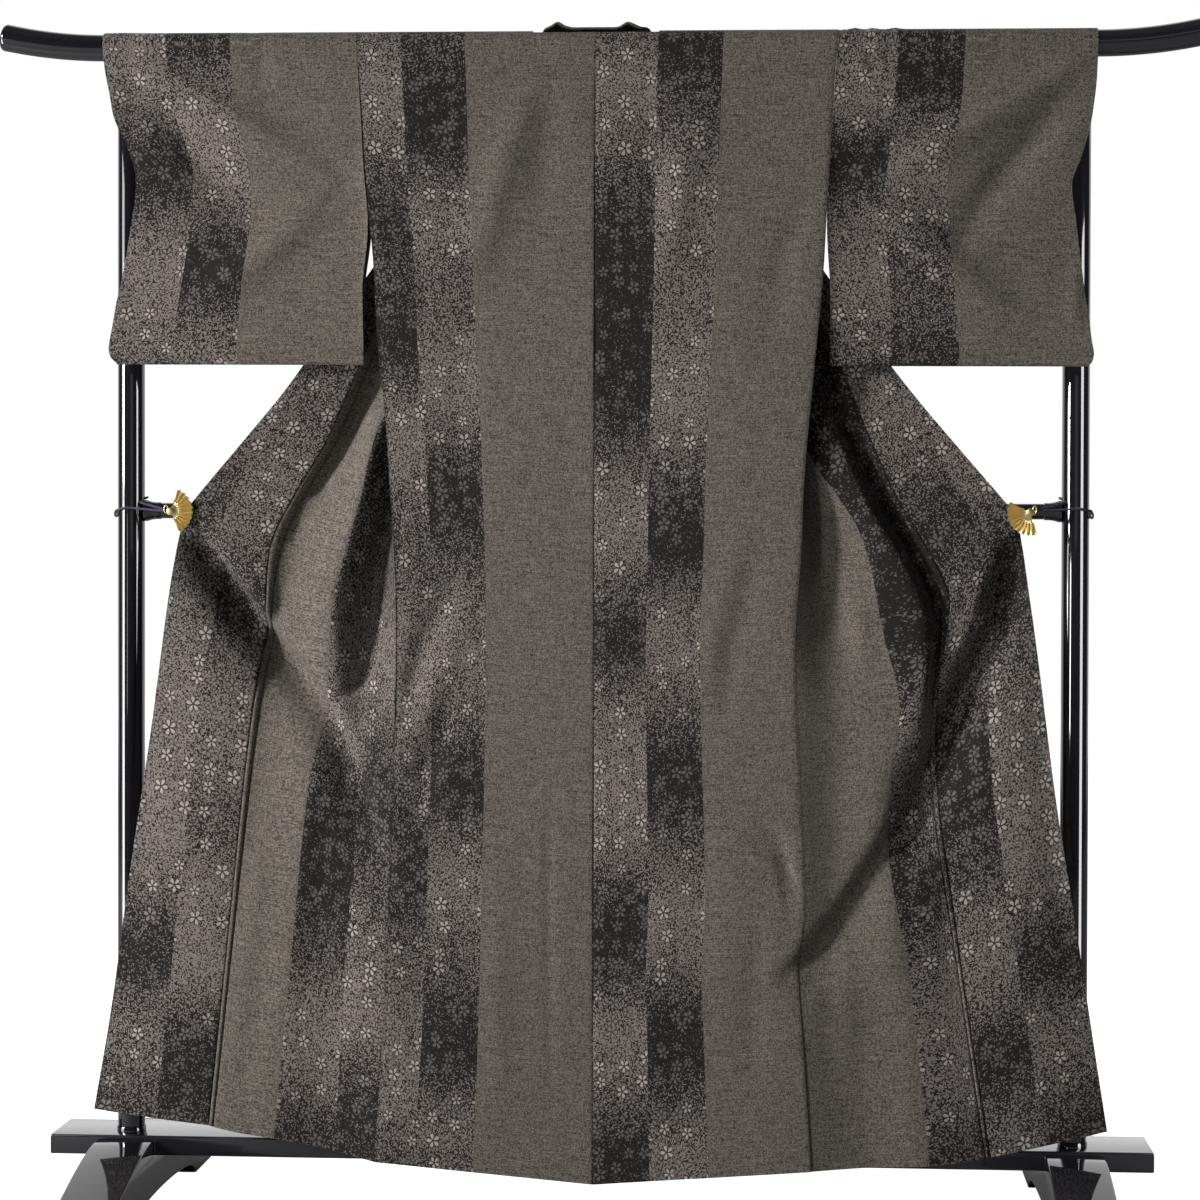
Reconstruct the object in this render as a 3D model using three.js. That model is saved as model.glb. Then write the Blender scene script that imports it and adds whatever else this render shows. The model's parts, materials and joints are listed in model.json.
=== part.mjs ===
// Yukata hung wide open on a lacquered stand, seen from its back.
// Millimetres, +Z up. X runs along the hanging rod, -Y is the side the back of the garment faces,
// and the origin is on the floor, at the middle of the box that holds the whole part.
import * as THREE from 'three';

// ---------------------------------------------------------------- driving sizes
const CLOTH = { wall: 1.6, seamGap: 0.3 };
const COLLAR = { wall: 2.4, width: 55, lap: 1.0, slope: 0.25, endAt: 765 };
const ROD = { radius: 18.5, half: 839, y: -70, z: 1644, rise: 16.5, bend: 150, sides: 20 };
const LEAN = { rate: 0.0056, from: 900, over: 400 };   // the rod lies a little lower on its right
const PLANK = { half: 776, depth: 110, top: 112, thick: 28, round: 3 };
const POST = { x: 667, y: -20, radius: 19.2, top: 1650, sides: 24 };
const SOCKET = { grow: 1.5, height: 8 };
const RAIL = { radius: 11, z: 999, cupRadius: 15, cupLength: 24, sides: 16 };
const FOOT = {
  x: 667, width: 82, reach: 330, crest: 106, crestHalf: 82, toe: 43, archHalf: 215, archTop: 28,
};
const TOE = [                                        // round end of a foot, past its reach
  { past: 6, up: 6, fromTop: true }, { past: 9, up: 16, fromTop: true },
  { past: 6, up: 6, fromTop: false }, { past: 0, up: 0, fromTop: false },
];
const HOLDER = { front: 6.8, wing: 19, cuff: 694.5, step: 19.5, low: -12, high: 12, hug: 47 };
const FAN = { radius: 32.5, hub: 6, thick: 2.8, pleats: 10, pivot: 601, z: 997.3 };
const SPREAD = { left: { from: -66, to: 70 }, right: { from: -107, to: 28 } };   // degrees, to the middle
const JAW = { reach: 36, height: 12, thick: 1.5, back: 41.5 };
const TIE = { radius: 1.6, sides: 5, steps: 44 };
const GAP = 0.3;

// The cut of the garment.
const CUT = { length: 1600, shoulder: 334, neck: 88, okumiTop: 230, collarEnd: 800 };
const ARMHOLE = { drop: 230, back: 33 };
const SLEEVE = { drop: 443, cuff: 205, halfGap: 2.2, inner: 325, innerUp: 1300, innerOver: 130 };

const wrap = ROD.radius + 0.5 + CLOTH.wall / 2;       // radius of the cloth's middle round the rod
const quarter = wrap * Math.PI / 2;                   // cloth from the top of the rod to its side
const backY = ROD.y - wrap;                           // plane of the hanging back

// ---------------------------------------------------------------- tables, one row a height or a fold
// out: sideways from the middle; up: above the floor; back: behind the plane of the hanging back.
const SIDE = {                                        // side seam and armhole of the body
  left: [
    { up: 88, out: 307 }, { up: 270, out: 294 }, { up: 460, out: 286 }, { up: 650, out: 279 },
    { up: 874, out: 276 }, { up: 1030, out: 285 }, { up: 1130, out: 292 }, { up: 1234, out: 303 },
    { up: 1344, out: 309 }, { up: 1459, out: 321 }, { up: 1560, out: 327 }, { up: 1664, out: 334 },
  ],
  right: [
    { up: 85, out: 303 }, { up: 206, out: 295 }, { up: 301, out: 288 }, { up: 373, out: 284 },
    { up: 444, out: 293 }, { up: 563, out: 289 }, { up: 753, out: 279 }, { up: 848, out: 279 },
    { up: 939, out: 286 }, { up: 1044, out: 290 }, { up: 1194, out: 303 }, { up: 1325, out: 315 },
    { up: 1461, out: 322 }, { up: 1560, out: 328 }, { up: 1664, out: 335 },
  ],
};
const CUFF = {                                        // outer edge of the sleeves
  left: [
    { up: 1200, out: 672 }, { up: 1206, out: 680 }, { up: 1212, out: 685 }, { up: 1223, out: 687 },
    { up: 1257, out: 681 }, { up: 1284, out: 676 }, { up: 1320, out: 668 }, { up: 1390, out: 656 },
    { up: 1459, out: 648 }, { up: 1500, out: 658 }, { up: 1543, out: 677 }, { up: 1577, out: 683 },
    { up: 1613, out: 689 }, { up: 1664, out: 692 },
  ],
  right: [
    { up: 1200, out: 676 }, { up: 1206, out: 683 }, { up: 1219, out: 686 }, { up: 1236, out: 683 },
    { up: 1268, out: 679 }, { up: 1310, out: 672 }, { up: 1400, out: 661 }, { up: 1453, out: 655 },
    { up: 1487, out: 667 }, { up: 1531, out: 679 }, { up: 1564, out: 684 }, { up: 1597, out: 687 },
    { up: 1664, out: 688 },
  ],
};
const EDGE = {                                        // collar seam, then the free front edge
  left: [
    { at: 230, out: 213, up: 1481, back: 44 }, { at: 553, out: 415, up: 1201, back: 42 },
    { at: 609, out: 450, up: 1154, back: 40 }, { at: 783, out: 569, up: 1012, back: 33 },
    { at: 800, out: 580, up: 996, back: 32 }, { at: 833, out: 590, up: 964, back: 31 },
    { at: 924, out: 606, up: 866, back: 31 }, { at: 1027, out: 620, up: 758, back: 30 },
    { at: 1145, out: 638, up: 632, back: 29 }, { at: 1305, out: 663, up: 463, back: 28 },
    { at: 1459, out: 685, up: 300, back: 27 }, { at: 1600, out: 710, up: 151, back: 26 },
  ],
  right: [
    { at: 230, out: 219, up: 1473, back: 44 }, { at: 553, out: 413, up: 1198, back: 42 },
    { at: 624, out: 459, up: 1140, back: 40 }, { at: 694, out: 506, up: 1084, back: 37 },
    { at: 784, out: 567, up: 1012, back: 33 }, { at: 800, out: 577, up: 998, back: 32 },
    { at: 829, out: 588, up: 969, back: 31 }, { at: 921, out: 603, up: 871, back: 31 },
    { at: 1035, out: 619, up: 748, back: 30 }, { at: 1189, out: 641, up: 582, back: 29 },
    { at: 1310, out: 662, up: 453, back: 28 }, { at: 1461, out: 687, up: 291, back: 27 },
    { at: 1600, out: 710, up: 143, back: 26 },
  ],
};
const SEAM = {                                        // seam of the front and its okumi
  left: [
    { at: 31, out: 88, up: 1644, back: 39.6 }, { at: 60, out: 112, up: 1622, back: 42 },
    { at: 100, out: 141, up: 1587, back: 45 }, { at: 230, out: 213, up: 1481, back: 44 },
    { at: 300, out: 243, up: 1417, back: 45 }, { at: 400, out: 283, up: 1323, back: 46 },
    { at: 480, out: 315, up: 1248, back: 44 }, { at: 529, out: 335, up: 1201, back: 42 },
    { at: 585, out: 358, up: 1148, back: 42 }, { at: 651, out: 386, up: 1087, back: 42 },
    { at: 721, out: 424, up: 1025, back: 42 }, { at: 802, out: 460, up: 950, back: 40 },
    { at: 901, out: 468, up: 849, back: 36 }, { at: 1096, out: 492, up: 651, back: 28 },
    { at: 1350, out: 518, up: 393, back: 25 }, { at: 1600, out: 545, up: 131, back: 22 },
  ],
  right: [
    { at: 31, out: 88, up: 1644, back: 39.6 }, { at: 60, out: 114, up: 1621, back: 42 },
    { at: 100, out: 144, up: 1582, back: 45 }, { at: 230, out: 219, up: 1473, back: 44 },
    { at: 300, out: 249, up: 1406, back: 45 }, { at: 400, out: 291, up: 1312, back: 46 },
    { at: 480, out: 326, up: 1235, back: 44 }, { at: 529, out: 347, up: 1188, back: 42 },
    { at: 601, out: 375, up: 1117, back: 42 }, { at: 706, out: 420, up: 1017, back: 42 },
    { at: 765, out: 452, up: 963, back: 40 }, { at: 848, out: 490, up: 886, back: 36 },
    { at: 891, out: 489, up: 841, back: 34 }, { at: 999, out: 474, up: 735, back: 31 },
    { at: 1124, out: 477, up: 600, back: 29 }, { at: 1266, out: 497, up: 451, back: 26 },
    { at: 1413, out: 519, up: 299, back: 24 }, { at: 1600, out: 550, up: 105, back: 22 },
  ],
};
const RIDGE = {                                       // fold crest across the middle of the front
  left: [
    { at: 31, out: 182, up: 1644, back: 39.6 }, { at: 100, out: 176, up: 1577, back: 37 },
    { at: 230, out: 170, up: 1452, back: 33 }, { at: 300, out: 158, up: 1388, back: 31 },
    { at: 400, out: 188, up: 1294, back: 40 }, { at: 480, out: 218, up: 1222, back: 46 },
    { at: 529, out: 252, up: 1176, back: 50 }, { at: 585, out: 297, up: 1129, back: 46 },
    { at: 641, out: 315, up: 1076, back: 37 }, { at: 697, out: 326, up: 1021, back: 30 },
    { at: 760, out: 344, up: 960, back: 26 }, { at: 851, out: 366, up: 873, back: 24 },
    { at: 991, out: 376, up: 733, back: 22 }, { at: 1107, out: 400, up: 620, back: 20 },
    { at: 1350, out: 426, up: 372, back: 16 }, { at: 1600, out: 450, up: 116, back: 12 },
  ],
  right: [
    { at: 31, out: 182, up: 1644, back: 39.6 }, { at: 100, out: 178, up: 1577, back: 37 },
    { at: 230, out: 174, up: 1450, back: 33 }, { at: 300, out: 160, up: 1384, back: 31 },
    { at: 400, out: 192, up: 1286, back: 40 }, { at: 480, out: 226, up: 1206, back: 46 },
    { at: 529, out: 256, up: 1150, back: 50 }, { at: 600, out: 300, up: 1062, back: 44 },
    { at: 650, out: 331, up: 1019, back: 37 }, { at: 706, out: 360, up: 973, back: 30 },
    { at: 765, out: 377, up: 918, back: 26 }, { at: 848, out: 391, up: 836, back: 24 },
    { at: 959, out: 417, up: 729, back: 22 }, { at: 1066, out: 406, up: 622, back: 20 },
    { at: 1174, out: 404, up: 515, back: 20 }, { at: 1345, out: 432, up: 350, back: 16 },
    { at: 1600, out: 460, up: 93, back: 12 },
  ],
};
const FOLDS = {                                       // first valley, turn and second valley of each front
  left: [
    { at: 31, v1Out: 258, v1Back: 39.6, tOut: 146, tBack: 39.6, v2Out: 110, v2Back: 39.6 },
    { at: 100, v1Out: 252, v1Back: 37, tOut: 140, tBack: 38, v2Out: 116, v2Back: 41 },
    { at: 230, v1Out: 245, v1Back: 30, tOut: 147, tBack: 40, v2Out: 180, v2Back: 47 },
    { at: 300, v1Out: 235, v1Back: 14, tOut: 185, tBack: 44, v2Out: 220, v2Back: 47 },
    { at: 400, v1Out: 226, v1Back: 16, tOut: 224, tBack: 49, v2Out: 260, v2Back: 51 },
    { at: 480, v1Out: 222, v1Back: 20, tOut: 254, tBack: 54, v2Out: 292, v2Back: 58 },
    { at: 529, v1Out: 222, v1Back: 26, tOut: 285, tBack: 59, v2Out: 316, v2Back: 64 },
    { at: 585, v1Out: 234, v1Back: 42, tOut: 322, tBack: 58, v2Out: 340, v2Back: 66 },
    { at: 641, v1Out: 258, v1Back: 52, tOut: 342, tBack: 50, v2Out: 363, v2Back: 62 },
    { at: 697, v1Out: 284, v1Back: 56, tOut: 366, tBack: 44, v2Out: 391, v2Back: 58 },
    { at: 760, v1Out: 304, v1Back: 54, tOut: 392, tBack: 40, v2Out: 421, v2Back: 54 },
    { at: 851, v1Out: 318, v1Back: 50, tOut: 414, tBack: 36, v2Out: 446, v2Back: 46 },
    { at: 991, v1Out: 326, v1Back: 42, tOut: 428, tBack: 31, v2Out: 462, v2Back: 38 },
    { at: 1107, v1Out: 342, v1Back: 33, tOut: 447, tBack: 27, v2Out: 477, v2Back: 32 },
    { at: 1350, v1Out: 362, v1Back: 24, tOut: 472, tBack: 22, v2Out: 504, v2Back: 26 },
    { at: 1600, v1Out: 378, v1Back: 16, tOut: 498, tBack: 16, v2Out: 531, v2Back: 20 },
  ],
  right: [
    { at: 31, v1Out: 258, v1Back: 39.6, tOut: 146, tBack: 39.6, v2Out: 110, v2Back: 39.6 },
    { at: 100, v1Out: 253, v1Back: 37, tOut: 142, tBack: 38, v2Out: 118, v2Back: 41 },
    { at: 230, v1Out: 246, v1Back: 30, tOut: 151, tBack: 40, v2Out: 184, v2Back: 47 },
    { at: 300, v1Out: 238, v1Back: 14, tOut: 190, tBack: 44, v2Out: 226, v2Back: 47 },
    { at: 400, v1Out: 230, v1Back: 16, tOut: 230, tBack: 49, v2Out: 264, v2Back: 51 },
    { at: 480, v1Out: 226, v1Back: 20, tOut: 264, tBack: 54, v2Out: 296, v2Back: 58 },
    { at: 529, v1Out: 228, v1Back: 26, tOut: 287, tBack: 59, v2Out: 316, v2Back: 64 },
    { at: 600, v1Out: 242, v1Back: 44, tOut: 330, tBack: 54, v2Out: 352, v2Back: 66 },
    { at: 650, v1Out: 265, v1Back: 53, tOut: 353, tBack: 48, v2Out: 374, v2Back: 61 },
    { at: 706, v1Out: 292, v1Back: 56, tOut: 380, tBack: 43, v2Out: 398, v2Back: 57 },
    { at: 765, v1Out: 313, v1Back: 54, tOut: 410, tBack: 40, v2Out: 432, v2Back: 54 },
    { at: 848, v1Out: 328, v1Back: 48, tOut: 440, tBack: 36, v2Out: 469, v2Back: 50 },
    { at: 959, v1Out: 340, v1Back: 40, tOut: 447, tBack: 30, v2Out: 467, v2Back: 40 },
    { at: 1066, v1Out: 339, v1Back: 34, tOut: 443, tBack: 28, v2Out: 461, v2Back: 34 },
    { at: 1174, v1Out: 342, v1Back: 30, tOut: 448, tBack: 26, v2Out: 471, v2Back: 31 },
    { at: 1345, v1Out: 355, v1Back: 25, tOut: 477, tBack: 22, v2Out: 499, v2Back: 26 },
    { at: 1600, v1Out: 380, v1Back: 16, tOut: 508, tBack: 16, v2Out: 537, v2Back: 20 },
  ],
};
const TROUGH = {                                      // long diagonal fold from the clip to the side
  left: [
    { out: 558, up: 978, depth: 5 }, { out: 528, up: 939, depth: 9 }, { out: 499, up: 867, depth: 12 },
    { out: 426, up: 760, depth: 14 }, { out: 357, up: 616, depth: 12 }, { out: 274, up: 536, depth: 6 },
    { out: 210, up: 480, depth: 1 },
  ],
  right: [
    { out: 572, up: 955, depth: 5 }, { out: 531, up: 864, depth: 10 }, { out: 489, up: 764, depth: 13 },
    { out: 440, up: 651, depth: 14 }, { out: 406, up: 528, depth: 12 }, { out: 339, up: 428, depth: 10 },
    { out: 290, up: 372, depth: 7 }, { out: 250, up: 340, depth: 1 },
  ],
};
const SOFT_FOLDS = {                                  // low folds of the hanging back and of the sleeves
  left: [
    { out: 205, up: 900, toOut: 284, toUp: 705, depth: 5, width: 20 },
    { out: 200, up: 735, toOut: 268, toUp: 560, depth: 5, width: 22 },
    { out: 100, up: 1570, toOut: 170, toUp: 1340, depth: -4, width: 30 },
    { out: 665, up: 1640, toOut: 415, toUp: 1490, depth: -7, width: 26 },
    { out: 655, up: 1590, toOut: 470, toUp: 1400, depth: 6, width: 24 },
    { out: 372, up: 1440, toOut: 540, toUp: 1290, depth: -5, width: 30 },
  ],
  right: [
    { out: 150, up: 1560, toOut: 90, toUp: 1300, depth: -4, width: 32 },
    { out: 240, up: 560, toOut: 283, toUp: 440, depth: 5, width: 20 },
    { out: 665, up: 1630, toOut: 430, toUp: 1480, depth: -7, width: 26 },
    { out: 655, up: 1570, toOut: 500, toUp: 1380, depth: 6, width: 24 },
    { out: 380, up: 1440, toOut: 560, toUp: 1280, depth: -5, width: 30 },
  ],
};
const BACK_ROWS = [1600, 1490, 1380, 1290, 1200, 1110, 1020, 940, 860, 780, 700, 620, 540, 460, 380, 300, 230,
  170, 110, 60];
const FRONT_ROWS = [60, 100, 150, 190, 230, 265, 300, 340, 380, 430, 480, 530, 570, 610, 650, 690, 730, 770,
  810, 860, 915, 975, 1040, 1110, 1190, 1280, 1380, 1490, 1600];
const ARC = 8;                                        // steps over the rod
const NECK_COLS = 3;
const FRONT_COLS = 13;
const OKUMI_COLS = 5;
const KNOTS = { side: 334, v1: 258, ridge: 182, turn: 146, v2: 110, seam: 88 };   // cloth from the back seam

// ---------------------------------------------------------------- small maths
const mix = (a, b, t) => a + (b - a) * t;
const smooth = t => { const u = Math.min(Math.max(t, 0), 1); return u * u * (3 - 2 * u); };

/** Smooth curve through rows {x, y}; flat beyond its ends. */
function curve(xs, ys) {
  const slope = xs.map((x, i) => {
    const a = Math.max(i - 1, 0);
    const b = Math.min(i + 1, xs.length - 1);
    return (ys[b] - ys[a]) / (xs[b] - xs[a]);
  });
  return x => {
    if (x <= xs[0]) return ys[0];
    if (x >= xs[xs.length - 1]) return ys[ys.length - 1];
    let i = 0;
    while (x > xs[i + 1]) i += 1;
    const h = xs[i + 1] - xs[i];
    const t = (x - xs[i]) / h;
    const t2 = t * t;
    const t3 = t2 * t;
    return (2 * t3 - 3 * t2 + 1) * ys[i] + (t3 - 2 * t2 + t) * h * slope[i]
      + (3 * t2 - 2 * t3) * ys[i + 1] + (t3 - t2) * h * slope[i + 1];
  };
}
const track = (table, key, column) => curve(table.map(r => r[key]), table.map(r => r[column]));

/** Distance from a point to a segment, with the share of the segment's length where it is nearest. */
function nearest(out, up, a, b) {
  const dx = b.out - a.out;
  const dz = b.up - a.up;
  const raw = ((out - a.out) * dx + (up - a.up) * dz) / (dx * dx + dz * dz);
  const t = Math.min(Math.max(raw, 0), 1);
  return { t, far: Math.hypot(out - a.out - dx * t, up - a.up - dz * t) };
}

/** Push of the long diagonal fold, away from the face of the cloth. */
function troughPush(side, out, up) {
  const rows = TROUGH[side];
  let best = { far: Infinity, depth: 0 };
  for (let i = 0; i + 1 < rows.length; i += 1) {
    const n = nearest(out, up, rows[i], rows[i + 1]);
    if (n.far < best.far) best = { far: n.far, depth: mix(rows[i].depth, rows[i + 1].depth, n.t) };
  }
  return best.depth * Math.exp(-((best.far / 24) ** 2));
}

/** Push of the low folds. */
function softPush(side, out, up) {
  return SOFT_FOLDS[side].reduce((sum, f) => {
    const n = nearest(out, up, f, { out: f.toOut, up: f.toUp });
    return sum + f.depth * Math.sin(Math.PI * mix(0.12, 0.88, n.t)) * Math.exp(-((n.far / f.width) ** 2));
  }, 0);
}

// ---------------------------------------------------------------- closed walls from grids
/** Mean normal at each point of a grid, from the cells that are kept. */
function gridNormals(points, keep, wrapCols) {
  const rows = points.length;
  const cols = points[0].length;
  const normals = points.map(row => row.map(() => new THREE.Vector3()));
  const a = new THREE.Vector3();
  const b = new THREE.Vector3();
  for (let i = 0; i + 1 < rows; i += 1) {
    for (let j = 0; j < (wrapCols ? cols : cols - 1); j += 1) {
      if (!keep(i, j)) continue;
      const k = (j + 1) % cols;
      a.subVectors(points[i + 1][k], points[i][j]);
      b.subVectors(points[i + 1][j], points[i][k]);
      const n = a.clone().cross(b);
      if (n.lengthSq() > 0) n.normalize();
      for (const [r, c] of [[i, j], [i, k], [i + 1, j], [i + 1, k]]) normals[r][c].add(n);
    }
  }
  normals.forEach(row => row.forEach(n => n.normalize()));
  return normals;
}

/** A wall of the given thickness with the grid as its middle, closed along every free edge. */
function wallSolid(points, normals, wall, keep, wrapCols = false) {
  const cols = points[0].length;
  const index = new Map();
  const position = [];
  const triangles = [];
  const vertex = (i, j, side) => {
    const key = (i * cols + j) * 2 + (side > 0 ? 1 : 0);
    if (!index.has(key)) {
      index.set(key, position.length / 3);
      const p = points[i][j].clone().addScaledVector(normals[i][j], side * wall / 2);
      position.push(p.x, p.y, p.z);
    }
    return index.get(key);
  };
  const edges = new Map();
  const edge = (i, j, k, l) => {
    const there = `${i},${j},${k},${l}`;
    const back = `${k},${l},${i},${j}`;
    if (edges.has(back)) edges.delete(back);
    else edges.set(there, [i, j, k, l]);
  };
  for (let i = 0; i + 1 < points.length; i += 1) {
    for (let j = 0; j < (wrapCols ? cols : cols - 1); j += 1) {
      if (!keep(i, j)) continue;
      const k = (j + 1) % cols;
      for (const side of [1, -1]) {
        const q = [vertex(i, j, side), vertex(i + 1, j, side), vertex(i + 1, k, side), vertex(i, k, side)];
        if (side > 0) triangles.push(q[0], q[1], q[2], q[0], q[2], q[3]);
        else triangles.push(q[2], q[1], q[0], q[3], q[2], q[0]);
      }
      edge(i, j, i + 1, j);
      edge(i + 1, j, i + 1, k);
      edge(i + 1, k, i, k);
      edge(i, k, i, j);
    }
  }
  for (const [i, j, k, l] of edges.values()) {
    const q = [vertex(i, j, 1), vertex(k, l, 1), vertex(k, l, -1), vertex(i, j, -1)];
    triangles.push(q[1], q[0], q[3], q[1], q[3], q[2]);
  }
  return solidGeometry(position, triangles);
}

/** Geometry from positions and triangles, turned so that its faces point out. */
function solidGeometry(position, triangles) {
  const at = i => new THREE.Vector3(position[3 * i], position[3 * i + 1], position[3 * i + 2]);
  let volume = 0;
  for (let t = 0; t < triangles.length; t += 3) {
    volume += at(triangles[t]).dot(at(triangles[t + 1]).cross(at(triangles[t + 2])));
  }
  const order = volume < 0 ? triangles.slice().reverse() : triangles;
  const geometry = new THREE.BufferGeometry();
  geometry.setAttribute('position', new THREE.Float32BufferAttribute(position, 3));
  geometry.setIndex(order);
  geometry.computeVertexNormals();
  return geometry;
}

/** Closed sweep of rings of equal count; the ends are fans, or the last ring joins the first. */
function ringSolid(rings, closed = false) {
  const n = rings[0].length;
  const position = rings.flat().flatMap(p => [p.x, p.y, p.z]);
  const triangles = [];
  const last = closed ? rings.length : rings.length - 1;
  for (let i = 0; i < last; i += 1) {
    const a = i * n;
    const b = ((i + 1) % rings.length) * n;
    for (let j = 0; j < n; j += 1) {
      const k = (j + 1) % n;
      triangles.push(a + j, b + j, b + k, a + j, b + k, a + k);
    }
  }
  if (!closed) {
    [[0, -1], [rings.length - 1, 1]].forEach(([row, sign]) => {
      const middle = rings[row].reduce((s, p) => s.add(p), new THREE.Vector3()).divideScalar(n);
      const centre = position.length / 3;
      position.push(middle.x, middle.y, middle.z);
      for (let j = 0; j < n; j += 1) {
        const k = (j + 1) % n;
        if (sign > 0) triangles.push(centre, row * n + k, row * n + j);
        else triangles.push(centre, row * n + j, row * n + k);
      }
    });
  }
  return solidGeometry(position, triangles);
}

// ---------------------------------------------------------------- the hung form
const sign = side => (side === 'left' ? -1 : 1);
const place = (side, out, back, up) => new THREE.Vector3(sign(side) * out, backY + back, up);
const hemUp = { left: 88, right: 85, centre: 62 };

/** Height of the cloth's thread at a length from the shoulder, at a share of the way to the side seam. */
function threadUp(side, length, share) {
  const hem = mix(hemUp.centre, hemUp[side], share);
  return ROD.z - (length - quarter) * (ROD.z - hem) / (CUT.length - quarter);
}

/** Back of a body panel; share is 0 at the back seam and 1 at the side. */
function backPoint(side, length, share) {
  const up = threadUp(side, length, share);
  const edge = track(SIDE[side], 'up', 'out')(up);
  const out = mix(CLOTH.seamGap / 2, edge, share);
  const fade = smooth((ROD.z - up) / 120);
  const push = (troughPush(side, out, up) + softPush(side, out, up) * smooth((1 - share) * 9)) * fade;
  return place(side, out, push, up);
}

/** Depth of the side edge of the front behind the back panel. */
const sideBack = curve([31, 120, ARMHOLE.drop, 300, 375, 1600],
  [2 * wrap, 37, ARMHOLE.back, 15, SLEEVE.halfGap, SLEEVE.halfGap]);

/** Named curves of one front. */
function frontTracks(side) {
  const read = (table, columns) => Object.fromEntries(columns.map(c => [c, track(table[side], 'at', c)]));
  return {
    edge: read(EDGE, ['out', 'up', 'back']),
    seam: read(SEAM, ['out', 'up', 'back']),
    ridge: read(RIDGE, ['out', 'up', 'back']),
    fold: read(FOLDS, ['v1Out', 'v1Back', 'tOut', 'tBack', 'v2Out', 'v2Back']),
    side: track(SIDE[side], 'up', 'out'),
  };
}
const TRACKS = { left: frontTracks('left'), right: frontTracks('right') };

/** Front of a body panel; cloth runs from the side seam (334) to the okumi seam (88). */
function frontPoint(side, length, cloth) {
  const t = TRACKS[side];
  const sideUp = threadUp(side, length, 1);
  const ridgeUp = t.ridge.up(length);
  const seamUp = t.seam.up(length);
  const rows = [
    { at: KNOTS.seam, out: t.seam.out(length), back: t.seam.back(length), up: seamUp },
    { at: KNOTS.v2, out: t.fold.v2Out(length), back: t.fold.v2Back(length), up: mix(ridgeUp, seamUp, 0.77) },
    { at: KNOTS.turn, out: t.fold.tOut(length), back: t.fold.tBack(length), up: mix(ridgeUp, seamUp, 0.38) },
    { at: KNOTS.ridge, out: t.ridge.out(length), back: t.ridge.back(length), up: ridgeUp },
    { at: KNOTS.v1, out: t.fold.v1Out(length), back: t.fold.v1Back(length), up: mix(sideUp, ridgeUp, 0.5) },
    { at: KNOTS.side, out: t.side(sideUp), back: sideBack(length), up: sideUp },
  ];
  const out = track(rows, 'at', 'out')(cloth);
  const up = track(rows, 'at', 'up')(cloth);
  return place(side, out, track(rows, 'at', 'back')(cloth) + troughPush(side, out, up), up);
}

/** Okumi; share is 0 at its seam and 1 at the collar seam or the free edge. */
function okumiPoint(side, length, share) {
  const t = TRACKS[side];
  const out = mix(t.seam.out(length), t.edge.out(length), share);
  const up = mix(t.seam.up(length), t.edge.up(length), share);
  const wave = 4 * smooth((length - CUT.collarEnd) / 200) * Math.sin(Math.PI * share);
  const back = mix(t.seam.back(length), t.edge.back(length), share) - wave;
  return place(side, out, back + troughPush(side, out, up), up);
}

/** Cloth on the rod at an angle: 180 degrees is the side of the back, 90 the top. */
const overRod = (side, out, angle, radius = wrap) => new THREE.Vector3(
  sign(side) * out, ROD.y + radius * Math.cos(angle), ROD.z + radius * Math.sin(angle));

/** Whole panel of one side: back, shoulder, front and okumi on one grid. */
function panelGrid(side) {
  const shoulder = track(SIDE[side], 'up', 'out');
  const neckShare = CUT.neck / CUT.shoulder;
  const clothAt = j => (j <= NECK_COLS ? CUT.neck * j / NECK_COLS
    : mix(CUT.neck, CUT.shoulder, (j - NECK_COLS) / FRONT_COLS));
  const bodyCols = NECK_COLS + FRONT_COLS;
  const points = [];
  BACK_ROWS.forEach(length => {
    const row = [];
    for (let j = 0; j <= bodyCols; j += 1) row.push(backPoint(side, length, clothAt(j) / CUT.shoulder));
    points.push(row);
  });
  for (let i = 0; i <= ARC; i += 1) {
    const angle = Math.PI * (1 - i / ARC);
    const row = [];
    for (let j = 0; j <= bodyCols; j += 1) {
      const share = clothAt(j) / CUT.shoulder;
      const edge = shoulder(ROD.z + wrap * Math.sin(angle));
      const out = share <= neckShare ? mix(CLOTH.seamGap / 2, CUT.neck, share / neckShare)
        : mix(CUT.neck, edge, (share - neckShare) / (1 - neckShare));
      row.push(overRod(side, out, angle));
    }
    points.push(row);
  }
  FRONT_ROWS.forEach(length => {
    const row = [];
    for (let j = 0; j <= bodyCols; j += 1) row.push(frontPoint(side, length, Math.max(clothAt(j), CUT.neck)));
    points.push(row);
  });
  const firstFront = BACK_ROWS.length + ARC;
  const okumiRow = firstFront + 1 + FRONT_ROWS.findIndex(length => length > CUT.okumiTop);
  points.forEach((row, i) => {
    const length = i > firstFront ? FRONT_ROWS[i - firstFront - 1] : 0;
    for (let j = 1; j <= OKUMI_COLS; j += 1) {
      row.unshift(i >= okumiRow ? okumiPoint(side, length, j / OKUMI_COLS) : row[0].clone());
    }
  });
  return { points, firstFront, okumiRow };
}

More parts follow.
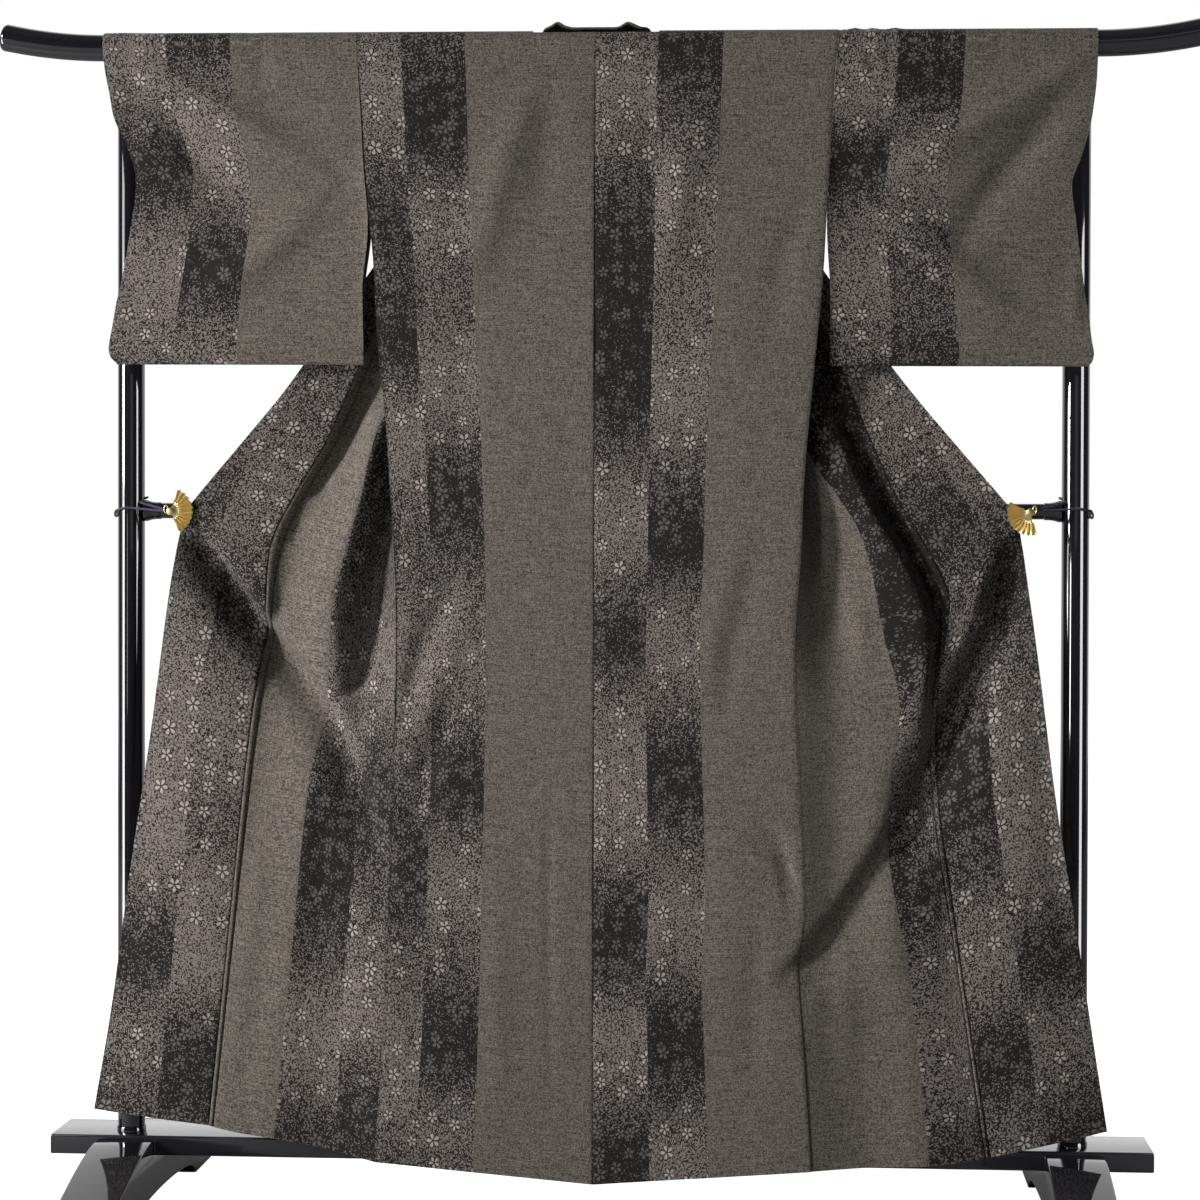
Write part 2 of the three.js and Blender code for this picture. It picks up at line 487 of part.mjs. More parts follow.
/** The body panel and the okumi of one side, parted along their seam. */
function panelSolids(side) {
  const { points, firstFront, okumiRow } = panelGrid(side);
  const seamCol = OKUMI_COLS + NECK_COLS;
  const neckRows = BACK_ROWS.length + 3;
  const inBody = (i, j) => j >= seamCol || (j >= OKUMI_COLS && i < neckRows);
  // The okumi stands in the columns before the neck; in the front rows it starts at the okumi seam.
  const front = points.map(row => row.slice(0, OKUMI_COLS).concat(row.slice(seamCol)));
  const frontKeep = (i, j) => i >= firstFront && (j >= OKUMI_COLS || i >= okumiRow);
  const frontNormals = gridNormals(front, frontKeep, false);
  const normals = gridNormals(points, inBody, false);
  const across = new THREE.Vector3();
  const bodyPoints = points.map(row => row.map(p => p.clone()));
  points.forEach((row, i) => {
    if (i < okumiRow) return;
    normals[i][seamCol].copy(frontNormals[i][OKUMI_COLS]);
    across.subVectors(front[i][OKUMI_COLS + 1], front[i][OKUMI_COLS - 1]).normalize();
    bodyPoints[i][seamCol].addScaledVector(across, CLOTH.seamGap / 2);
    front[i][OKUMI_COLS].addScaledVector(across, -CLOTH.seamGap / 2);
  });
  const body = wallSolid(bodyPoints, normals, CLOTH.wall, inBody);
  const okumi = wallSolid(front, frontNormals, CLOTH.wall, (i, j) => i >= okumiRow && j < OKUMI_COLS);
  return { body, okumi };
}

/** Half gaps of a sleeve's two layers at a drop below the rod's axis. */
const bodyEnd = {
  near: curve([0, 230, 330, 425, SLEEVE.drop], [wrap, wrap, 14, 4, SLEEVE.halfGap]),
  far: curve([0, 230, 330, 425, SLEEVE.drop], [wrap, ARMHOLE.back - wrap, 9, 4, SLEEVE.halfGap]),
};
const cuffEnd = curve([0, 60, SLEEVE.cuff, SLEEVE.drop], [wrap, 12, SLEEVE.halfGap, SLEEVE.halfGap]);
const SLEEVE_DROPS = [434, 418, 385, 340, 285, ARMHOLE.drop, SLEEVE.cuff, 170, 125, 80, 40];
const SLEEVE_COLS = [0, 0.06, 0.18, 0.32, 0.47, 0.62, 0.77, 0.9, 1];

/** Sleeve as a tube along the rod: up its near layer, over the rod and down its far layer. */
function sleeveSolid(side) {
  const armhole = track(SIDE[side], 'up', 'out');
  const cuff = track(CUFF[side], 'up', 'out');
  const inner = up => mix(SLEEVE.inner, armhole(up) + GAP, smooth((up - SLEEVE.innerUp) / SLEEVE.innerOver));
  const layerPoint = (drop, share, near) => {
    const up = ROD.z - drop;
    const out = mix(inner(up), cuff(up), share);
    const end = near ? bodyEnd.near(drop) : bodyEnd.far(drop);
    const half = mix(end, cuffEnd(drop), Math.sqrt(share));
    const fade = smooth(drop / 110) * smooth(share * 7) * smooth((1 - share) * 5 + 0.25);
    const y = ROD.y + (near ? -half : half) + softPush(side, out, up) * fade;
    return new THREE.Vector3(sign(side) * out, y, up);
  };
  const loops = SLEEVE_COLS.map(share => {
    const near = SLEEVE_DROPS.map(drop => layerPoint(drop, share, true));
    const far = SLEEVE_DROPS.map(drop => layerPoint(drop, share, false)).reverse();
    const arc = [];
    for (let i = 0; i <= ARC; i += 1) {
      const angle = Math.PI * (1 - i / ARC);
      const up = ROD.z + wrap * Math.sin(angle);
      arc.push(overRod(side, mix(inner(up), cuff(up), share), angle));
    }
    const low = layerPoint(SLEEVE.drop, share, true);
    low.y = (near[0].y + far[far.length - 1].y) / 2;
    return [low, ...near, ...arc, ...far];
  });
  const keep = () => true;
  return wallSolid(loops, gridNormals(loops, keep, true), CLOTH.wall, keep, true);
}

// ---------------------------------------------------------------- collar
const collarRadius = wrap + CLOTH.wall / 2 + GAP + COLLAR.wall / 2;
const NECK_LIFT = [{ out: 53, side: 'left', lift: 8 }, { out: 46, side: 'right', lift: 8 }];
const COLLAR_LENGTHS = [45, 60, 80, 105, 140, 185, 230, 280, 340, 410, 480, 550, 620, 690, COLLAR.endAt];
const TURN_STEPS = 5;
const COLLAR_LEAN = 0.78;                             // how far the collar leans in, for its width
const WIDTH_STEPS = [0, 8, 16, 24, 34, 44, COLLAR.width];

/** How far the collar stands above the rod at a place along the back neck. */
function neckLift(side, out) {
  return 2.2 + NECK_LIFT.filter(r => r.side === side)
    .reduce((sum, r) => sum + r.lift * Math.exp(-(((out - r.out) / 9) ** 2)), 0);
}

/** Section of the collar across the back neck (turn 0) and round to the rod's far side (turn 1). */
function neckSection(side, out, turn) {
  const start = mix(THREE.MathUtils.degToRad(116), THREE.MathUtils.degToRad(0), turn);
  const lean = COLLAR_LEAN * turn;
  return WIDTH_STEPS.map(w => {
    const arc = Math.min(w, start * collarRadius);
    const rest = w - arc;
    const angle = start - arc / collarRadius;
    const p = overRod(side, out - lean * w, angle, collarRadius);
    p.z += neckLift(side, out) * Math.max(Math.sin(angle), 0) * (1 - turn);
    p.z -= rest * mix(1, 0.6, turn);
    p.y += rest * COLLAR.slope;
    return p;
  });
}

/** Section of the collar along the front: it hangs behind its seam, square to it. */
function lapelSection(side, length) {
  const t = TRACKS[side];
  const line = length > CUT.okumiTop ? t.edge : t.seam;
  const step = 6;
  const run = new THREE.Vector2(line.out(length + step) - line.out(length - step),
    line.up(length + step) - line.up(length - step)).normalize();
  const lean = mix(COLLAR_LEAN, -run.y, smooth((length - 60) / 120));
  const fall = mix(0.6, run.x, smooth((length - 60) / 120));
  return WIDTH_STEPS.map(w => {
    const out = line.out(length) - lean * w;
    const up = line.up(length) - fall * w;
    const back = line.back(length) + (CLOTH.wall + COLLAR.wall) / 2 + COLLAR.lap + COLLAR.slope * w;
    const edgePush = troughPush(side, line.out(length), line.up(length));
    return place(side, out, back + Math.max(edgePush, troughPush(side, out, up)), up);
  });
}

function collarSolid() {
  const half = side => {
    const sections = COLLAR_LENGTHS.slice().reverse().map(length => lapelSection(side, length));
    for (let i = 0; i <= TURN_STEPS; i += 1) {
      const turn = 1 - i / TURN_STEPS;
      sections.push(neckSection(side, mix(62, CUT.neck + 3, turn), smooth(turn)));
    }
    [53, 44, 32, 18].forEach(out => sections.push(neckSection(side, out, 0)));
    return sections;
  };
  const points = [...half('left'), neckSection('left', 0, 0), ...half('right').reverse()];
  const keep = () => true;
  return wallSolid(points, gridNormals(points, keep, false), COLLAR.wall, keep);
}

// ---------------------------------------------------------------- stand
function rodSolid() {
  const stations = [];
  const bendStart = ROD.half - ROD.bend;
  [-1, 1].forEach(s => {
    [1, 0.985, 0.94, 0.85, 0.7, 0.5, 0.3, 0.12, 0].forEach(share => {
      stations.push({ x: s * (bendStart + ROD.bend * share), share });
    });
  });
  stations.sort((a, b) => a.x - b.x);
  const rings = stations.map(({ x, share }) => {
    const lift = ROD.rise * share * share;
    const radius = ROD.radius * (share > 0.99 ? 0.72 : share > 0.97 ? 0.93 : 1);
    const tilt = Math.sign(x) * 2 * ROD.rise * share / ROD.bend;
    return Array.from({ length: ROD.sides }, (_, k) => {
      const angle = 2 * Math.PI * k / ROD.sides;
      const up = radius * Math.sin(angle);
      return new THREE.Vector3(x - up * tilt, ROD.y + radius * Math.cos(angle), ROD.z + lift + up);
    });
  });
  return ringSolid(rings);
}

const circle = radius => new THREE.Shape().absarc(0, 0, radius, 0, 2 * Math.PI, false);

const upright = (shape, z0, z1) => new THREE.ExtrudeGeometry(shape,
  { depth: z1 - z0, bevelEnabled: false, curveSegments: POST.sides }).translate(0, 0, z0);

/** Side of a foot: a level seat in front of the plank, a long falling back, a round toe and a low arch. */
function footSolid() {
  const seat = PLANK.depth / 2 + GAP;
  const floor = PLANK.top - PLANK.thick - GAP;
  const outer = [];
  const steps = 9;
  for (let i = 0; i <= steps; i += 1) {
    const t = i / steps;
    outer.push([mix(FOOT.crestHalf, FOOT.reach, t), FOOT.crest - (FOOT.crest - FOOT.toe) * t ** 1.35]);
  }
  TOE.forEach(({ past, up, fromTop }) => outer.push([FOOT.reach + past, fromTop ? FOOT.toe - up : up]));
  const arch = [];
  for (let i = 0; i <= 16; i += 1) {
    const a = Math.PI * i / 16;
    arch.push([FOOT.archHalf * Math.cos(a), FOOT.archTop * Math.sin(a) ** 0.8]);
  }
  const points = [
    [seat, floor], [seat, FOOT.crest], ...outer, ...arch, ...outer.map(([y, z]) => [-y, z]).reverse(),
    [-seat, FOOT.crest], [-seat, floor],
  ];
  const shape = new THREE.Shape(points.map(([y, z]) => new THREE.Vector2(y, z)));
  const geometry = new THREE.ExtrudeGeometry(shape, { depth: FOOT.width, bevelEnabled: false });
  // The outline lies in Y and Z, and the foot is as wide as it is deep along X.
  return geometry.translate(0, 0, -FOOT.width / 2).rotateY(Math.PI / 2).rotateX(Math.PI / 2);
}

function plankSolid() {
  const y = PLANK.depth / 2;
  const z = PLANK.thick / 2;
  const r = PLANK.round;
  const shape = new THREE.Shape([
    [-y + r, -z], [y - r, -z], [y, -z + r], [y, z - r], [y - r, z], [-y + r, z], [-y, z - r], [-y, -z + r],
  ].map(([a, b]) => new THREE.Vector2(a, b)));
  const geometry = new THREE.ExtrudeGeometry(shape, { depth: 2 * PLANK.half, bevelEnabled: false });
  return geometry.translate(0, 0, -PLANK.half).rotateY(Math.PI / 2).rotateX(Math.PI / 2);
}

/** Turned bar along X with the given radii, a row [x, radius] a step. */
function turned(rows) {
  const profile = [[rows[0][0], 0], ...rows, [rows[rows.length - 1][0], 0]];
  const geometry = new THREE.LatheGeometry(profile.map(([x, r]) => new THREE.Vector2(r, x)), RAIL.sides);
  return geometry.rotateZ(-Math.PI / 2);
}

/** Bracket that hugs the front of a post and carries the rod just outside the cuff. */
function holderSolid() {
  const reach = POST.radius + GAP;
  const rodBack = ROD.y + ROD.radius + GAP;
  const front = POST.y - reach - HOLDER.front;
  const tail = HOLDER.cuff + HOLDER.step;
  const hug = [];
  for (let i = 0; i <= 8; i += 1) {
    const angle = THREE.MathUtils.degToRad(mix(-HOLDER.hug, HOLDER.hug - 180, i / 8));
    hug.push([POST.x + reach * Math.cos(angle), POST.y + reach * Math.sin(angle)]);
  }
  const back = hug[0][1] + 1;
  const outline = [
    [POST.x - HOLDER.wing, front], [HOLDER.cuff, front], [HOLDER.cuff, rodBack], [tail, rodBack],
    [tail, back - 2], [hug[0][0] + 3, back], ...hug, [POST.x - HOLDER.wing + 2, back],
  ];
  const shape = new THREE.Shape(outline.map(([a, b]) => new THREE.Vector2(a, b)));
  return upright(shape, ROD.z + HOLDER.low, ROD.z + HOLDER.high);
}

const fanY = backY + 30.5 - CLOTH.wall / 2 - GAP - FAN.thick - 1.2;   // front face of a fan

/** Folding fan in the plane of the garment, spread towards the middle. */
function fanSolid(side) {
  const points = [];
  const from = THREE.MathUtils.degToRad(SPREAD[side].from);
  const to = THREE.MathUtils.degToRad(SPREAD[side].to);
  for (let i = 0; i <= 2 * FAN.pleats; i += 1) {
    const angle = mix(from, to, i / (2 * FAN.pleats));
    const radius = FAN.radius - (i % 2 ? 0 : 1.2);
    points.push(new THREE.Vector2(-radius * Math.cos(angle), radius * Math.sin(angle)));
  }
  for (let i = 0; i <= 8; i += 1) {
    const angle = mix(to, from + 2 * Math.PI, i / 8);
    points.push(new THREE.Vector2(-FAN.hub * Math.cos(angle), FAN.hub * Math.sin(angle)));
  }
  const shape = new THREE.Shape(points);
  const geometry = new THREE.ExtrudeGeometry(shape, { depth: FAN.thick, bevelEnabled: false });
  return geometry.rotateX(Math.PI / 2).translate(0, fanY + FAN.thick, 0);
}

/** Clip behind the fan: it reaches round the edge of the cloth. */
function jawSolid() {
  const front = fanY + FAN.thick + GAP;
  const rear = backY + JAW.back;
  const outline = [
    [-10, front], [-10 + JAW.thick, front], [-10 + JAW.thick, rear], [-JAW.reach, rear],
    [-JAW.reach, rear - JAW.thick], [-10, rear - JAW.thick],
  ];
  const shape = new THREE.Shape(outline.map(([a, b]) => new THREE.Vector2(a, b)));
  return upright(shape, -JAW.height / 2, JAW.height / 2);
}

/** Cord from the fan's hub round the post and back over the rail, a closed loop. */
function tieSolid() {
  const hub = FAN.pivot + FAN.hub + TIE.radius + 0.6;
  const bend = POST.radius + TIE.radius + 1.2;
  const over = RAIL.z + RAIL.cupRadius + TIE.radius + 1.2;
  const round = (degrees, up) => {
    const angle = THREE.MathUtils.degToRad(degrees);
    return [POST.x + bend * Math.cos(angle), POST.y + bend * Math.sin(angle), up];
  };
  const path = new THREE.CatmullRomCurve3([
    [hub, fanY + 1, FAN.z + 1], [632, -53, FAN.z + 3],
    round(-104, FAN.z + 4), round(-70, FAN.z + 3), round(-35, FAN.z + 2), round(0, FAN.z + 2),
    round(35, FAN.z + 5), round(70, FAN.z + 10), round(105, FAN.z + 16), round(140, over),
    round(172, over + 1),
    [640, -30, over], [628, -46, FAN.z + 14], [hub + 6, fanY + 4, FAN.z + 6],
  ].map(([x, y, z]) => new THREE.Vector3(x, y, z)), true, 'centripetal');
  const rings = [];
  for (let i = 0; i < TIE.steps; i += 1) {
    const centre = path.getPointAt(i / TIE.steps);
    const along = path.getTangentAt(i / TIE.steps);
    const side = new THREE.Vector3(0, 0, 1).cross(along).normalize();
    const top = along.clone().cross(side);
    rings.push(Array.from({ length: TIE.sides }, (_, k) => {
      const angle = 2 * Math.PI * k / TIE.sides;
      return centre.clone().addScaledVector(side, TIE.radius * Math.cos(angle))
        .addScaledVector(top, TIE.radius * Math.sin(angle));
    }));
  }
  return ringSolid(rings, true);
}

// ---------------------------------------------------------------- scene graph
const paint = (color, roughness, metalness = 0) =>
  new THREE.MeshStandardMaterial({ color, roughness, metalness });
const FINISH = {
  cloth: paint(0x4b443e, 0.85),
  lacquer: paint(0x0b0b0d, 0.12),
  gold: paint(0xc9a13b, 0.3, 1),
  cord: paint(0x3a2468, 0.7),
};
const yukata = new THREE.Group();

/** A piece's own copy of a geometry, with each point moved. */
function moved(geometry, move) {
  const position = Array.from(geometry.attributes.position.array);
  const point = new THREE.Vector3();
  for (let i = 0; i < position.length; i += 3) {
    move(point.fromArray(position, i));
    point.toArray(position, i);
  }
  const count = position.length / 3;
  const triangles = geometry.index ? Array.from(geometry.index.array)
    : Array.from({ length: count }, (_, k) => k);
  return solidGeometry(position, triangles);
}
const mirrored = geometry => moved(geometry, p => p.setX(-p.x));
const leaning = geometry => moved(geometry,
  p => p.setZ(p.z - LEAN.rate * p.x * smooth((p.z - LEAN.from) / LEAN.over)));

/** Adds a named piece. */
function add(name, geometry, material) {
  const mesh = new THREE.Mesh(geometry, material.clone());
  mesh.name = name;
  yukata.add(mesh);
  return mesh;
}

for (const side of ['left', 'right']) {
  const { body, okumi } = panelSolids(side);
  add(`body_${side}`, leaning(body), FINISH.cloth);
  add(`okumi_${side}`, leaning(okumi), FINISH.cloth);
  add(`sleeve_${side}`, leaning(sleeveSolid(side)), FINISH.cloth);
}
add('collar', leaning(collarSolid()), FINISH.cloth);

add('rod', leaning(rodSolid()), FINISH.lacquer);
const cupEnd = POST.x - POST.radius - GAP;
const cup = cupEnd - RAIL.cupLength;
const cupRows = [[cup, RAIL.radius + 1], [cup + 15, RAIL.cupRadius - 2], [cupEnd, RAIL.cupRadius]];
add('rail', turned([[-cup + GAP, RAIL.radius], [cup - GAP, RAIL.radius]]), FINISH.lacquer)
  .position.set(0, POST.y, RAIL.z);
add('plank', plankSolid(), FINISH.lacquer).position.set(0, 0, PLANK.top - PLANK.thick / 2);
for (const side of ['left', 'right']) {
  const own = geometry => (side === 'left' ? mirrored(geometry) : geometry);
  const x = sign(side) * POST.x;
  const seatTop = PLANK.top + GAP + SOCKET.height;
  add(`post_${side}`, upright(circle(POST.radius), seatTop + GAP, POST.top), FINISH.lacquer)
    .position.set(x, POST.y, 0);
  const ring = circle(POST.radius + SOCKET.grow);
  add(`post_socket_${side}`, upright(ring, PLANK.top + GAP, seatTop), FINISH.lacquer)
    .position.set(x, POST.y, 0);
  add(`foot_${side}`, footSolid(), FINISH.lacquer).position.set(sign(side) * FOOT.x, 0, 0);
  add(`rail_cup_${side}`, own(turned(cupRows)), FINISH.lacquer).position.set(0, POST.y, RAIL.z);
  add(`rod_holder_${side}`, leaning(own(holderSolid())), FINISH.lacquer);
  add(`fan_${side}`, own(fanSolid(side)), FINISH.gold).position.set(sign(side) * FAN.pivot, 0, FAN.z);
  add(`fan_clip_${side}`, own(jawSolid()), FINISH.gold).position.set(sign(side) * FAN.pivot, 0, FAN.z);
  add(`tie_${side}`, own(tieSolid()), FINISH.cord);
}

export default yukata;
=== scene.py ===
"""Dresses a hung yukata and its lacquered stand: cloth shells, seams, gilt fans, cords and studio."""
from __future__ import annotations

import json
import logging
import math
from dataclasses import dataclass, field
from enum import Enum
from typing import Sequence

import bmesh
import bpy
import numpy as np
from mathutils import Matrix, Vector

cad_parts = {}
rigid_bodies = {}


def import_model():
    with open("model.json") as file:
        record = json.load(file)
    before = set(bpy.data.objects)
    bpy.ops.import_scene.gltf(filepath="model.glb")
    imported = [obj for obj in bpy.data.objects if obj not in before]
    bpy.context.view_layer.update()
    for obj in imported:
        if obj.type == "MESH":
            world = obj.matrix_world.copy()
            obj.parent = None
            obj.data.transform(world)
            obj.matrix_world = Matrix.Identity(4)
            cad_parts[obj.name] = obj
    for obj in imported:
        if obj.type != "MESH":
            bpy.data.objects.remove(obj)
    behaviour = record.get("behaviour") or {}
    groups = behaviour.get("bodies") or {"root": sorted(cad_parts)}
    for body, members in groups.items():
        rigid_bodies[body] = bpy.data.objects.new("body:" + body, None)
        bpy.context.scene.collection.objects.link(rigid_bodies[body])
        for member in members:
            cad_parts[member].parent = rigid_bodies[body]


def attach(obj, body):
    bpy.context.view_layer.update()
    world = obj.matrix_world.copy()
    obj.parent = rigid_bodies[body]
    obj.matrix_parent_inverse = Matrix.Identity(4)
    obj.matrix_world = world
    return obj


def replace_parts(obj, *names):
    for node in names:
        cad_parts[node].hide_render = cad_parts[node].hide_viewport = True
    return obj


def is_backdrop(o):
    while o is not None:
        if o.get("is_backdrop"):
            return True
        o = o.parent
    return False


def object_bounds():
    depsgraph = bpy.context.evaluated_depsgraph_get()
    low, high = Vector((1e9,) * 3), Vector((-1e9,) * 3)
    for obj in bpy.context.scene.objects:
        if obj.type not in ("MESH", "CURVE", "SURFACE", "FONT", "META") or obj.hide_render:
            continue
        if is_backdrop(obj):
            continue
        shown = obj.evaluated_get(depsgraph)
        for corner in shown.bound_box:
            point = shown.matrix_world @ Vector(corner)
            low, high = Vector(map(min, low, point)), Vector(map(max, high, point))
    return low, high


LOG = logging.getLogger("yukata")
MM = 0.001
TINY = 1e-9
Array = np.ndarray
Rows = Sequence[Sequence[float]]
Crease = tuple[float, float, Rows]
Colour = tuple[float, float, float, float]
Point = tuple[float, float, float]
Face = tuple[int, ...]
Faces = Sequence[Sequence[int]]
Links = dict[int | str, object]
Material = bpy.types.Material
Object = bpy.types.Object
Socket = bpy.types.NodeSocket


class Side(Enum):
    """A side of the garment, as seen from its back."""

    LEFT = "left"
    RIGHT = "right"

    @property
    def sign(self) -> float:
        """Direction of the side along X."""
        return -1.0 if self is Side.LEFT else 1.0


class Part(Enum):
    """A part of the garment's cloth."""

    BACK = "back"
    FRONT = "front"
    OKUMI = "okumi"
    SLEEVE = "sleeve"


class Slot(Enum):
    """A material slot of the record."""

    CLOTH = "cloth"
    LACQUER = "lacquer"
    GILT = "gilt"
    CORD = "cord"


# ------------------------------------------------------------------ tables, millimetres
# out: sideways from the middle; up: above the floor; back: behind the plane of the hanging back;
# at: length of cloth from the shoulder.
SIDE: dict[Side, Rows] = {  # up, out
    Side.LEFT: (
        (88, 307), (270, 294), (460, 286), (650, 279), (874, 276), (1030, 285), (1130, 292),
        (1234, 303), (1344, 309), (1459, 321), (1560, 327), (1664, 334),
    ),
    Side.RIGHT: (
        (85, 303), (206, 295), (301, 288), (373, 284), (444, 293), (563, 289), (753, 279), (848, 279),
        (939, 286), (1044, 290), (1194, 303), (1325, 315), (1461, 322), (1560, 328), (1664, 335),
    ),
}
CUFF: dict[Side, Rows] = {  # up, out
    Side.LEFT: (
        (1200, 672), (1206, 680), (1212, 685), (1223, 687), (1257, 681), (1284, 676), (1320, 668),
        (1390, 656), (1459, 648), (1500, 658), (1543, 677), (1577, 683), (1613, 689), (1664, 692),
    ),
    Side.RIGHT: (
        (1200, 676), (1206, 683), (1219, 686), (1236, 683), (1268, 679), (1310, 672), (1400, 661),
        (1453, 655), (1487, 667), (1531, 679), (1564, 684), (1597, 687), (1664, 688),
    ),
}
EDGE: dict[Side, Rows] = {  # at, out, up, back
    Side.LEFT: (
        (230, 213, 1481, 44), (553, 415, 1201, 42), (609, 450, 1154, 40), (783, 569, 1012, 33),
        (800, 580, 996, 32), (833, 590, 964, 31), (924, 606, 866, 31), (1027, 620, 758, 30),
        (1145, 638, 632, 29), (1305, 663, 463, 28), (1459, 685, 300, 27), (1600, 710, 151, 26),
    ),
    Side.RIGHT: (
        (230, 219, 1473, 44), (553, 413, 1198, 42), (624, 459, 1140, 40), (694, 506, 1084, 37),
        (784, 567, 1012, 33), (800, 577, 998, 32), (829, 588, 969, 31), (921, 603, 871, 31),
        (1035, 619, 748, 30), (1189, 641, 582, 29), (1310, 662, 453, 28), (1461, 687, 291, 27),
        (1600, 710, 143, 26),
    ),
}
SEAM: dict[Side, Rows] = {  # at, out, up, back
    Side.LEFT: (
        (31, 88, 1644, 39.6), (60, 112, 1622, 42), (100, 141, 1587, 45), (230, 213, 1481, 44),
        (300, 243, 1417, 45), (400, 283, 1323, 46), (480, 315, 1248, 44), (529, 335, 1201, 42),
        (585, 358, 1148, 42), (651, 386, 1087, 42), (721, 424, 1025, 42), (802, 460, 950, 40),
        (901, 468, 849, 36), (1096, 492, 651, 28), (1350, 518, 393, 25), (1600, 545, 131, 22),
    ),
    Side.RIGHT: (
        (31, 88, 1644, 39.6), (60, 114, 1621, 42), (100, 144, 1582, 45), (230, 219, 1473, 44),
        (300, 249, 1406, 45), (400, 291, 1312, 46), (480, 326, 1235, 44), (529, 347, 1188, 42),
        (601, 375, 1117, 38), (706, 420, 1017, 35), (765, 452, 963, 33), (848, 490, 886, 31),
        (891, 489, 841, 31), (999, 474, 735, 29), (1124, 477, 600, 29), (1266, 497, 451, 26),
        (1413, 519, 299, 24), (1600, 550, 105, 22),
    ),
}
RIDGE: dict[Side, Rows] = {  # at, out, up, back
    Side.LEFT: (
        (31, 182, 1644, 39.6), (100, 176, 1577, 37), (230, 170, 1452, 33), (300, 158, 1388, 31),
        (400, 188, 1294, 40), (480, 218, 1222, 40), (529, 252, 1176, 36), (585, 297, 1129, 27),
        (641, 315, 1076, 17), (697, 326, 1021, 11), (760, 344, 960, 9), (851, 366, 873, 10),
        (991, 376, 733, 12), (1107, 400, 620, 13), (1350, 426, 372, 12), (1600, 450, 116, 12),
    ),
    Side.RIGHT: (
        (31, 182, 1644, 39.6), (100, 178, 1577, 37), (230, 174, 1450, 33), (300, 160, 1384, 31),
        (400, 192, 1286, 40), (480, 226, 1206, 40), (529, 256, 1150, 38), (600, 300, 1062, 27),
        (650, 331, 1019, 23), (706, 360, 973, 20), (765, 377, 918, 18), (848, 391, 836, 15),
        (959, 417, 729, 14), (1066, 406, 622, 12), (1174, 404, 515, 13), (1345, 432, 350, 12),
        (1600, 460, 93, 12),
    ),
}
FOLDS: dict[Side, Rows] = {  # at, v1Out, v1Back, tOut, tBack, v2Out, v2Back
    Side.LEFT: (
        (31, 258, 39.6, 146, 39.6, 110, 39.6), (100, 252, 37, 140, 38, 116, 41),
        (230, 245, 30, 147, 40, 180, 47), (300, 235, 14, 185, 44, 220, 47),
        (400, 226, 16, 224, 49, 260, 51), (480, 222, 20, 254, 54, 292, 58),
        (529, 222, 26, 285, 59, 316, 64), (585, 234, 52, 322, 58, 340, 66),
        (641, 258, 58, 342, 50, 363, 62), (697, 284, 56, 366, 44, 391, 58),
        (760, 304, 56, 392, 40, 421, 54), (851, 318, 56, 414, 36, 446, 46),
        (991, 326, 17, 428, 31, 462, 38), (1107, 342, 14, 447, 27, 477, 32),
        (1350, 362, 14, 472, 22, 504, 26), (1600, 378, 16, 498, 16, 531, 20),
    ),
    Side.RIGHT: (
        (31, 258, 39.6, 146, 39.6, 110, 39.6), (100, 253, 37, 142, 38, 118, 41),
        (230, 246, 30, 151, 40, 184, 47), (300, 238, 14, 190, 44, 226, 47),
        (400, 230, 16, 230, 49, 264, 51), (480, 226, 20, 264, 54, 296, 57),
        (529, 228, 28, 298, 36, 316, 54), (600, 242, 44, 340, 19, 352, 47),
        (650, 265, 44, 362, 15, 374, 43), (706, 292, 38, 387, 12, 398, 41),
        (765, 313, 34, 419, 10, 432, 38), (848, 328, 27, 452, 10, 469, 35),
        (959, 340, 16, 455, 11, 467, 31), (1066, 339, 14, 443, 28, 461, 34),
        (1174, 342, 13, 448, 26, 471, 31), (1345, 355, 14, 477, 22, 499, 26),
        (1600, 380, 16, 508, 16, 537, 20),
    ),
}
TROUGH: dict[Side, Rows] = {  # out, up, depth
    Side.LEFT: (
        (570, 967, 7), (550, 941, 20), (529, 912, 28), (504, 875, 29), (480, 841, 27),
        (447, 806, 26), (413, 767, 25), (381, 723, 22), (354, 673, 17), (327, 605, 11),
        (299, 528, 6), (276, 450, 1),
    ),
    Side.RIGHT: (
        (580, 951, 10), (558, 900, 26), (545, 840, 30), (512, 772, 28), (486, 709, 24),
        (452, 626, 18), (415, 549, 15), (339, 428, 11), (290, 372, 8), (250, 340, 1),
    ),
}
SOFT_FOLDS: dict[Side, Rows] = {  # out, up, toOut, toUp, depth, width
    Side.LEFT: (
        (205, 900, 284, 705, 5, 20), (200, 735, 268, 560, 5, 22), (100, 1570, 170, 1340, -4, 30),
        (665, 1640, 415, 1490, -7, 26), (655, 1590, 470, 1400, 6, 24), (372, 1440, 540, 1290, -5, 30),
    ),
    Side.RIGHT: (
        (150, 1560, 90, 1300, -4, 32), (240, 560, 283, 440, 5, 20), (665, 1630, 430, 1480, -7, 26),
        (655, 1570, 500, 1380, 6, 24), (380, 1440, 560, 1280, -5, 30),
    ),
}

